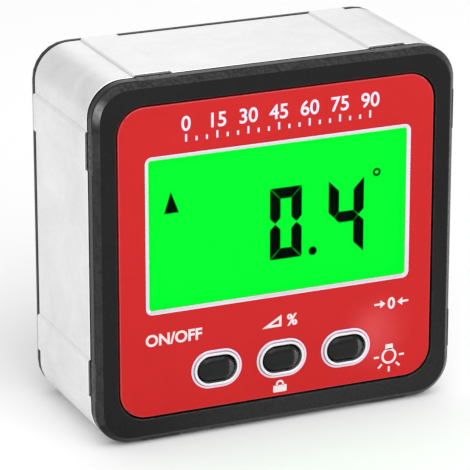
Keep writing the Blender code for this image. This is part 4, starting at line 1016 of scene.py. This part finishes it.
signs = [lettered("ON/OFF", SIGN_SIZE, *ON_OFF_PLACE, SIGN_BOLD, ink)]
x, z = PERCENT_PLACE
signs.append(printed("slope", [[(x + across, z + up) for across, up in loop] for loop in SLOPE]))
signs.append(lettered("%", SIGN_SIZE, x + PERCENT_ASIDE, z, SIGN_BOLD, ink))
x, z = LOCK_PLACE
signs.append(printed("lock_body", [rounded_box(*LOCK_BODY, LOCK_CORNER, (x, z + LOCK_BODY[1]), 4)]))
outer, inner = LOCK_ARCH
arch_foot = z + 2 * LOCK_BODY[1] - ARCH_LAP
arch_middle = (x, arch_foot + ARCH_LEG)
arch = [(x + outer, arch_foot)] + arc(arch_middle, outer, 0, 180, 12) + [(x - outer, arch_foot)]
arch += [(x - inner, arch_foot)] + arc(arch_middle, inner, 180, 0, 12) + [(x + inner, arch_foot)]
signs.append(printed("lock_arch", [arch]))
x, z = ZERO_PLACE
signs.append(lettered("0", SIGN_SIZE, x, z, SIGN_BOLD, ink))
for side in (-1, 1):
    signs.append(printed("arrow", [[(x + side * across, z + up) for across, up in ARROW]]))
x, z = LAMP_PLACE
glass_ring = [arc((x, z), LAMP_RADIUS, 0, 350, 35), arc((x, z), LAMP_RADIUS - LAMP_STROKE, 0, 350, 35)]
signs.append(printed("lamp_ring", glass_ring))
signs.append(printed("lamp_cap", [rounded_box(*LAMP_CAP, (x, z + LAMP_CAP_UP), 4)]))
for degrees in LAMP_RAYS:
    ray = Vector((math.cos(math.radians(degrees)), math.sin(math.radians(degrees))))
    across = RAY_HALF_WIDTH * Vector((-ray.y, ray.x))
    near = Vector((x, z)) + RAY_START * ray
    far = Vector((x, z)) + RAY_END * ray
    ends = [near - across, far - across, far + across, near + across]
    signs.append(printed("ray", [[tuple(end) for end in ends]]))
labels = assembled("printed_key_signs", signs)
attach(labels, "case")

# Keys
# Three glossy black moulded keys with softly domed tops. A flange behind the bezel's floor keeps
# each one in, and its stem rests on the plunger of a tact switch.
KEY_CAP = (5.75, 3.7)
KEY_FRONT = -0.35
KEY_DOME = (
    (1.75, 0.0), (1.4, 0.02), (1.05, 0.07), (0.75, 0.14),
    (0.5, 0.23), (0.28, 0.36), (0.1, 0.54), (0.0, 0.78),
)
KEY_LAP = 0.3
KEY_FLANGE = (7.55, 5.5)
KEY_FLANGE_DEPTHS = (2.9, 3.7)
KEY_STEM = (1.2, 3.3, 4.3)
KEY_USES = ("power", "hold", "zero")

key_black = surface(
    "black_key", ((0.002, 0.002, 0.0025), (0.005, 0.005, 0.0055)), (0.18, 0.28), (2600.0, EVEN, 0.2),
    0.000006, 260.0, Specular_IOR_Level=0.25,
)
# A more reflective, slightly lighter black on the right-hand ends of the keys: a painted highlight.
key_highlight_end = surface(
    "black_key_painted_highlight_end", ((0.003, 0.003, 0.0035), (0.008, 0.008, 0.0085)), (0.22, 0.34),
    (2600.0, EVEN, 0.2), 0.000006, 900.0, Specular_IOR_Level=1.0,
)
dome = [(inset, KEY_FRONT + drop) for inset, drop in KEY_DOME]
dome.append((0.0, KEY_FLANGE_DEPTHS[0] + KEY_LAP))
for use, key_x in zip(KEY_USES, KEY_PLACES):
    cap_rings = []
    for inset, depth in dome:
        sizes = [size - 2 * inset for size in KEY_CAP]
        cap_rings.append((stadium(*sizes, (key_x, KEY_Z), 20), depth))
    flange = outlined_solid("flange", [stadium(*KEY_FLANGE, (key_x, KEY_Z))], *KEY_FLANGE_DEPTHS, key_black)
    radius, stem_front, stem_back = KEY_STEM
    stem_profile = [(0.0, stem_front), (radius, stem_front), (radius, stem_back), (0.0, stem_back)]
    stem = revolved("stem", stem_profile, key_black, 24)
    stem.transform(Matrix.Translation((key_x, 0.0, KEY_Z)))
    key = assembled("key_" + use, [lofted("cap", cap_rings, key_black), flange, stem], 50.0)
    key.data.materials.append(key_highlight_end)
    for face in key.data.polygons:
        x, depth, z = spot_of(face)
        # The right-hand ends take the painted highlight.
        if depth < 0.3 and 0.18 < face.normal.x < 0.85 and face.normal.z < 0.25:
            face.material_index = 1
    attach(key, use + "_key")
    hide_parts("button_" + use)

# Display window
# A stepped pane of clear acrylic, pushed into the plate's window from behind and held by its flange.
# Its side walls glow as green as the display itself; this is a painted glow standing in for the display's
# light that fills it.
PANE_FLANGE_DEPTHS = (1.45, 2.35)
PANE_FRONT = 0.30
PANE_FIT = 0.06
PANE_EDGE = 0.05
LIT_GREEN = (0.0008, 0.985, 0.030)

clear = surface(
    "clear_acrylic", ((1.0, 1.0, 1.0), (0.985, 1.0, 0.99)), (0.0, 0.003), (900.0, EVEN, 0.1), 0.0000004,
    60.0, Transmission_Weight=1.0, Specular_IOR_Level=0.06, IOR=1.06,
)
painted_glow_wall = surface(
    "green_painted_glow_acrylic_wall", ((0.0, 0.02, 0.0), (0.0, 0.03, 0.001)), (0.3, 0.4), (900.0, EVEN, 0.1),
    0.000001, 60.0, Specular_IOR_Level=0.0, Emission_Color=(*LIT_GREEN, 1.0), Emission_Strength=1.0,
)
inner_sizes = [size - BRIGHT_WIDTH for size in WINDOW_OUTER]
inner_corner = WINDOW_CORNER - BRIGHT_WIDTH
pane_rings = []
pane_path = filleted([
    (1.2, PANE_FRONT, 0), (PANE_FIT, PANE_FRONT, PANE_EDGE), (PANE_FIT, PANE_FLANGE_DEPTHS[0], 0),
    (-BRIGHT_WIDTH, PANE_FLANGE_DEPTHS[0], 0), (-BRIGHT_WIDTH, PANE_FLANGE_DEPTHS[1], 0),
    (1.2, PANE_FLANGE_DEPTHS[1], 0),
], 3)
for inset, depth in pane_path:
    sizes = [size - inset for size in inner_sizes]
    pane_rings.append((rounded_box(*sizes, max(inner_corner - inset, 0.1), WINDOW_MIDDLE, 6), depth))
pane = assembled("clear_display_window", [lofted("pane", pane_rings, clear)])
pane.data.materials.append(painted_glow_wall)
for face in pane.data.polygons:
    # The side walls take the painted glow.
    if abs(face.normal.y) < 0.5:
        face.material_index = 1
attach(pane, "case")
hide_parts("display_pane")

# Display
# A liquid crystal cell in front of a light guide that is lit green. The figures are dark segments in
# the cell: a slope arrow, a number with one decimal and the degree sign.
CELL_FRONT = 2.9
SEGMENT_HEIGHT = 0.03
SEGMENT_SINK = 0.02
VIEW_SHIFT_X = 1.19
VIEW_SHIFT_Z = -1.03
DIGIT_STROKE = 1.6
DIGIT_GAP = 0.055
DIGITS = (("0", -1.3, 3.6, -2.0, 8.6), ("4", 7.8, 13.3, -2.6, 8.6))
LIT_SEGMENTS = {"0": "abcdef", "4": "bcfg"}
POINT_PLACE = (5.35, -1.46)
POINT_RADIUS = 0.63
SLOPE_ARROW = ((-17.4, 7.1), (-15.2, 7.1), (-16.4, 10.2))
DEGREE_PLACE = (15.3, 9.0)
DEGREE_RADIUS = 0.6
DEGREE_STROKE = 0.28

segment_dark = surface(
    "dark_liquid_crystal", ((0.0, 0.001, 0.0), (0.0, 0.003, 0.001)), (0.5, 0.6), (2000.0, EVEN, 0.1),
    0.000001, 90.0, Specular_IOR_Level=0.0,
)
cell_green = surface(
    "green_lit_display", ((0.0, 0.02, 0.0), (0.0, 0.03, 0.001)), (0.3, 0.4), (2500.0, EVEN, 0.0),
    0.000001, 60.0, Specular_IOR_Level=0.0, Emission_Color=(*LIT_GREEN, 1.0), Emission_Strength=1.0,
)


def coated(look, *nodes):
    """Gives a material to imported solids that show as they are."""
    for node in nodes:
        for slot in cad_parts[node].material_slots:
            slot.material = look


def segment_outlines(left, right, low, high, stroke, gap):
    """The seven mitred bars of a figure, by letter."""
    half = stroke / 2
    middle = (low + high) / 2
    bars = {}
    for letter, edge, inward in (("a", high, -stroke), ("d", low, stroke)):
        bars[letter] = [
            (left + gap, edge), (left + stroke, edge + inward),
            (right - stroke, edge + inward), (right - gap, edge),
        ]
    for letter, side in (("f", left), ("b", right)):
        inward = stroke if side == left else -stroke
        bars[letter] = [
            (side, high - gap), (side + inward, high - stroke - gap), (side + inward, middle + half + gap),
            (side + inward / 2, middle + gap), (side, middle + half + gap),
        ]
    for letter, side in (("e", left), ("c", right)):
        inward = stroke if side == left else -stroke
        bars[letter] = [
            (side, low + gap), (side + inward, low + stroke + gap), (side + inward, middle - half - gap),
            (side + inward / 2, middle - gap), (side, middle - half - gap),
        ]
    bars["g"] = [
        (left + half + gap, middle), (left + stroke, middle + half), (right - stroke, middle + half),
        (right - half - gap, middle), (right - stroke, middle - half), (left + stroke, middle - half),
    ]
    return bars


def in_cell(points):
    """Moves a figure as seen through the window to its place in the cell behind it."""
    return [(x + VIEW_SHIFT_X, z + VIEW_SHIFT_Z) for x, z in points]


figures = []
for figure, left, end, low, high in DIGITS:
    bars = segment_outlines(left, end, low, high, DIGIT_STROKE, DIGIT_GAP)
    figures += [in_cell(bars[letter]) for letter in LIT_SEGMENTS[figure]]
figures.append(in_cell(arc(POINT_PLACE, POINT_RADIUS, 0, 345, 23)))
figures.append(in_cell(SLOPE_ARROW))
figures.append(in_cell(arc(DEGREE_PLACE, DEGREE_RADIUS, 0, 345, 23)))
figures.append(in_cell(arc(DEGREE_PLACE, DEGREE_RADIUS - DEGREE_STROKE, 0, 345, 23)))
reading_depths = (CELL_FRONT - SEGMENT_HEIGHT, CELL_FRONT + SEGMENT_SINK)
reading_solid = outlined_solid("reading", figures, *reading_depths, segment_dark)
reading = assembled("display_reading", [reading_solid])
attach(reading, "case")
coated(cell_green, "lcd_panel")

# Rear cover
# A black ABS moulding that closes the back. Its inside is the fluted bay for two AAA cells, and its
# outside has the door's recess, a finger scoop and four countersunk seats. The texture is spark-eroded.
COVER_EDGE = 0.10
COVER_CHAMFER = 0.8
COVER_RIM_EDGE = 0.35

grained_abs = surface(
    "grained_black_abs", ((0.007, 0.007, 0.0075), (0.014, 0.014, 0.0145)), (0.42, 0.58),
    (2600.0, EVEN, 0.7), 0.00006, 110.0, Specular_IOR_Level=0.3,
)


def from_solid(node, look, edge, segments=2, rim=0.0):
    """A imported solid's own form, in millimetres, with its sharp edges and its chamfer's rim rounded."""
    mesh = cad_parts[node].data.copy()
    mesh.transform(Matrix.Scale(1 / MM, 4) @ Matrix.Translation(-FRONT_MIDDLE))
    work = bmesh.new()
    work.from_mesh(mesh)
    bmesh.ops.remove_doubles(work, verts=work.verts, dist=0.0005)
    bmesh.ops.dissolve_limit(work, angle_limit=math.radians(0.5), verts=work.verts, edges=work.edges)
    if rim:
        foot = max(vert.co.y for vert in work.verts) - COVER_CHAMFER
        edges = [
            item for item in work.edges
            if item.is_manifold and item.calc_face_angle() > math.radians(30)
            and all(abs(vert.co.y - foot) < 0.02 for vert in item.verts)
            and all(on_outline(vert.co.x, vert.co.z) for vert in item.verts)
        ]
        bmesh.ops.bevel(work, geom=edges, offset=rim, segments=3, profile=0.5, affect="EDGES")
    edges = [
        item for item in work.edges
        if item.is_manifold and item.calc_face_angle() > math.radians(40) and item.calc_length() > 3 * edge
    ]
    bmesh.ops.bevel(
        work, geom=edges, offset=edge, segments=segments, profile=0.5, affect="EDGES", clamp_overlap=True,
    )
    work.to_mesh(mesh)
    work.free()
    mesh.materials.clear()
    mesh.materials.append(look)
    mesh.polygons.foreach_set("material_index", [0] * len(mesh.polygons))
    return mesh


cover_shape = from_solid("rear_cover", grained_abs, COVER_EDGE, rim=COVER_RIM_EDGE)
cover = assembled("rear_cover_moulding", [cover_shape])
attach(cover, "case")
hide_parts("rear_cover")

# Battery door
# The same moulding as the cover: two tongues hook under the recess's lower edge, a latch arm snaps
# behind the upper one, and four grooves give the thumb a hold.
DOOR_EDGE = 0.09

door_abs = surface(
    "grained_door_abs", ((0.008, 0.008, 0.0085), (0.016, 0.016, 0.0165)), (0.38, 0.55),
    (2600.0, EVEN, 0.7), 0.00005, 160.0, Specular_IOR_Level=0.3,
)
door = assembled("battery_door_moulding", [from_solid("battery_door", door_abs, DOOR_EDGE)])
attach(door, "door")
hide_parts("battery_door")

# Case screws
# Four countersunk self-tapping steel screws with a cross recess, zinc plated, driven through the
# rear cover into the bezel's bosses.
SCREW_BACK = 24.9
SCREW_HEAD = (2.1, 1.1)
SCREW_SHANK = (1.0, 8.5)
SCREW_EDGE = 0.12
CROSS = (2.3, 0.5, 0.6)
THREAD_PITCH = 0.8
THREAD_DEPTH = 0.12

zinc = surface(
    "zinc_plated_steel", ((0.55, 0.55, 0.54), (0.72, 0.71, 0.69)), (0.22, 0.42), (3500.0, EVEN, 0.2),
    0.000006, 600.0, Metallic=1.0,
)


def box_shell(low, high, look):
    """A box between two corners, in millimetres."""
    work = bmesh.new()
    bmesh.ops.create_cube(work, size=1.0)
    for vert in work.verts:
        vert.co = [(a + b) / 2 + c * (b - a) for a, b, c in zip(low, high, vert.co)]
    return as_mesh(work, "box", look)


def crossed_screw(profile, top, look):
    """Turned screw with a cross cut into its head, which faces backwards."""
    span, width, depth = CROSS
    arms = []
    for across, tall in ((span, width), (width, span)):
        low = (-across / 2, top - depth, -tall / 2)
        arms.append(box_shell(low, (across / 2, top + CUT_PAST, tall / 2), look))
    return cut_by(revolved("screw", profile, look, 32), arms)


# Stands a copy of one part on every point, pushed to a depth.
PLACING = growing_tree(
    "placed_parts", {"Part": "NodeSocketObject", "Depth": 0.0},
    {
        "part": ("GeometryNodeObjectInfo", {}),
        "put": ("GeometryNodeInstanceOnPoints", {}),
        "push": ("ShaderNodeCombineXYZ", {}),
        "shift": ("GeometryNodeTransform", {}),
    },
    (
        "in.Part > part.Object", "in.Geometry > put.Points", "part.Geometry > put.Instance",
        "in.Depth > push.Y", "put.Instances > shift.Geometry", "push.Vector > shift.Translation",
    ),
    "shift.Geometry",
)


def placed(name, mesh, places, depth, look):
    """Copies of a mesh at places on the front, as one mesh."""
    part = linked(name, mesh)
    points = bpy.data.meshes.new(name + "_places")
    points.from_pydata([(x, 0.0, z) for x, z in places], [], [])
    made = grown(name, PLACING, points, {"Part": part, "Depth": depth, "Finish": look})
    bpy.data.objects.remove(part)
    return made


head_radius, head_height = SCREW_HEAD
shank_radius, shank_length = SCREW_SHANK
screw_profile = [(0.0, -shank_length), (shank_radius * 0.35, -shank_length)]
screw_profile.append((shank_radius * 0.9, -shank_length + 0.7))
depth = -shank_length + 0.9
while depth < -head_height - THREAD_PITCH:
    screw_profile += [(shank_radius - THREAD_DEPTH, depth), (shank_radius, depth + THREAD_PITCH * 0.3)]
    screw_profile.append((shank_radius, depth + THREAD_PITCH * 0.4))
    depth += THREAD_PITCH
screw_profile += [(shank_radius - THREAD_DEPTH, depth), (shank_radius - THREAD_DEPTH, -head_height)]
screw_profile += [(head_radius, -SCREW_EDGE), (head_radius - 0.03, -0.04)]
screw_profile += [(head_radius - 0.14, 0.0), (0.0, 0.0)]
screw_shape = crossed_screw(screw_profile, 0.0, zinc)
screw_mesh = placed("case_screws", screw_shape, BOSS_PLACES, SCREW_BACK, zinc)
case_screws = assembled("case_screws", [screw_mesh])
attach(case_screws, "case")
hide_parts("case_screw_1", "case_screw_2", "case_screw_3", "case_screw_4")

# Board screws
# Three pan-head screws hold the circuit board on the bezel's posts.
BOARD_SCREW_BACK = 9.25
BOARD_SCREW_HEAD = (1.5, 0.9)
BOARD_SCREW_SHANK = (0.7, 4.05)

head_radius, head_height = BOARD_SCREW_HEAD
shank_radius, shank_length = BOARD_SCREW_SHANK
board_profile = [(0.0, -shank_length), (shank_radius / 2, -shank_length), (shank_radius, -shank_length + 0.4)]
board_profile += [(shank_radius, 0.0), (head_radius, 0.0), (head_radius, head_height * 0.45)]
board_profile += [(head_radius - 0.15, head_height * 0.75), (head_radius - 0.5, head_height)]
board_profile.append((0.0, head_height))
board_screw_shape = crossed_screw(board_profile, head_height, zinc)
board_screws = assembled(
    "board_screws", [placed("board_screws", board_screw_shape, POST_PLACES, BOARD_SCREW_BACK, zinc)],
)
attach(board_screws, "case")
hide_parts("board_screw_1", "board_screw_2", "board_screw_3")

# Cells
# Two AAA cells, head to tail, in plain printed shrink wrap that is turned in over the crimped ends.
CELL_AXIS_DEPTH = 17.7
CELL_Z = 5.4
CELL_TIP = 23.2
CELL_BAND = 9.0
WRAP_RADIUS = 5.25
WRAP_FRONT = 0.82
WRAP_BACK = 44.44

cell_steel = surface(
    "cell_end_steel", ((0.60, 0.60, 0.59), (0.74, 0.73, 0.71)), (0.18, 0.35), (3000.0, EVEN, 0.1),
    0.000004, 400.0, Metallic=1.0,
)
wrap_dark = surface(
    "dark_cell_wrap", ((0.030, 0.045, 0.075), (0.045, 0.062, 0.095)), (0.22, 0.36),
    (1800.0, (0.3, 1.0, 1.0), 0.1), 0.000008, 120.0, Coat_Weight=0.4, Coat_Roughness=0.12,
)
wrap_pale = surface(
    "pale_cell_wrap", ((0.55, 0.56, 0.58), (0.68, 0.69, 0.70)), (0.22, 0.36),
    (1800.0, (0.3, 1.0, 1.0), 0.1), 0.000008, 120.0, Coat_Weight=0.4, Coat_Roughness=0.12,
)
nub = [(0.0, 0.0), (1.6, 0.0), (1.85, 0.1), (1.9, 0.3), (1.9, 0.95), (0.0, 0.95)]
head_band = [(0.0, WRAP_FRONT), (2.3, WRAP_FRONT), (4.9, 0.80), (5.12, 0.90), (5.23, 1.10)]
head_band += [(WRAP_RADIUS, 1.35), (WRAP_RADIUS, CELL_BAND), (0.0, CELL_BAND)]
tail_band = [(0.0, CELL_BAND), (WRAP_RADIUS, CELL_BAND), (WRAP_RADIUS, 43.9), (5.22, 44.15)]
tail_band += [(5.10, 44.36), (4.85, WRAP_BACK), (4.3, WRAP_BACK), (0.0, WRAP_BACK)]
can_foot = [(0.0, 43.0), (4.32, 43.0), (4.32, 44.46), (3.6, 44.46), (3.4, 44.5), (0.0, 44.5)]
for cell_node, side in (("cell_upper", 1), ("cell_lower", -1)):
    shells = [revolved("nub", nub, cell_steel), revolved("head_band", head_band, wrap_pale)]
    shells += [revolved("tail_band", tail_band, wrap_dark), revolved("can_foot", can_foot, cell_steel)]
    for shell in shells:
        shell.transform(Matrix.Rotation(-side * math.pi / 2, 4, "Z"))
        shell.transform(Matrix.Translation((-side * CELL_TIP, CELL_AXIS_DEPTH, side * CELL_Z)))
    cell = assembled(cell_node + "_wrapped", shells)
    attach(cell, "case")
    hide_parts(cell_node)

# Contacts and springs
# Nickel-plated spring steel: two tabbed plates and a bridge, and a conical spring at each cell's
# flat end.
SPRING_TURNS = 3.0
SPRING_WIRE = 0.225
SPRING_WIDE = 3.2
SPRING_NARROW = 1.6
SPRING_LENGTH = 1.45
SPRING_SEAT = 23.0

# Winds a conical spring along the depth axis.
WINDING = growing_tree(
    "conical_spring", {"Turns": 3.0, "Wide": 3.0, "Narrow": 1.5, "Length": 1.5, "Wire": 0.2},
    {
        "wind": ("GeometryNodeCurveSpiral", {"Resolution": 36}),
        "wire": ("GeometryNodeCurvePrimitiveCircle", {"Resolution": 10}),
        "swept": ("GeometryNodeCurveToMesh", {"Fill Caps": True}),
    },
    (
        "in.Turns > wind.Rotations", "in.Wide > wind.Start Radius", "in.Narrow > wind.End Radius",
        "in.Length > wind.Height", "in.Wire > wire.Radius", "wind.Curve > swept.Curve",
        "wire.Curve > swept.Profile Curve",
    ),
    "swept.Mesh",
)
spring_values = {"Turns": SPRING_TURNS, "Wide": SPRING_WIDE, "Narrow": SPRING_NARROW}
spring_values.update({"Length": SPRING_LENGTH, "Wire": SPRING_WIRE, "Finish": nickel})
for spring_node, side in (("spring_upper", 1), ("spring_lower", -1)):
    coil = welded(grown("coil", WINDING, bpy.data.meshes.new("coil"), spring_values))
    coil.transform(Matrix.Rotation(-side * math.pi / 2, 4, "Y"))
    coil.transform(Matrix.Translation((side * SPRING_SEAT, CELL_AXIS_DEPTH, side * CELL_Z)))
    spring = assembled(spring_node + "_coil", [coil])
    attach(spring, "case")
    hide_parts(spring_node)
coated(nickel, "contact_positive", "contact_negative", "contact_bridge")

# Electronics
# Green fibreglass board with its controller, tilt sensor and three tact switches; a white light
# guide behind the display cell and the striped rubber strip that connects it.
board_green = surface(
    "green_solder_mask", ((0.010, 0.110, 0.040), (0.025, 0.190, 0.070)), (0.25, 0.40),
    (1400.0, EVEN, 0.2), 0.000010, 200.0, Coat_Weight=0.3, Coat_Roughness=0.2,
)
board_nodes = {
    "spot": ("ShaderNodeTexCoord", {}),
    "turn": ("ShaderNodeMapping", {"Rotation": (math.pi / 2, 0.0, 0.0)}),
    "tracks": ("ShaderNodeTexBrick", {
        "Scale": 260.0, "Color1": (0.012, 0.12, 0.045, 1.0), "Color2": (0.020, 0.16, 0.060, 1.0),
        "Mortar": (0.060, 0.30, 0.120, 1.0), "Mortar Size": 0.04,
    }),
}
build_nodes(board_green.node_tree, board_nodes, (
    "spot.Object > turn.Vector", "turn.Vector > tracks.Vector", "tracks.Color > Principled BSDF.Base Color",
))
chip_black = surface(
    "black_epoxy", ((0.012, 0.012, 0.012), (0.022, 0.022, 0.022)), (0.45, 0.62), (6000.0, EVEN, 0.4),
    0.00002, 500.0,
)
guide_white = surface(
    "white_light_guide", ((0.72, 0.73, 0.70), (0.82, 0.83, 0.80)), (0.40, 0.55), (2500.0, EVEN, 0.2),
    0.000008, 120.0,
)
strip_rubber = surface(
    "connector_rubber", ((0.015, 0.015, 0.015), (0.30, 0.29, 0.28)), (0.55, 0.75),
    (2200.0, (1.0, 0.1, 0.1), 0.0), 0.00001, 900.0,
)
coated(board_green, "main_board")
coated(chip_black, "controller_chip", "tilt_sensor", "switch_power", "switch_hold", "switch_zero")
coated(key_black, "plunger_power", "plunger_hold", "plunger_zero")
coated(guide_white, "backlight")
coated(strip_rubber, "contact_strip")
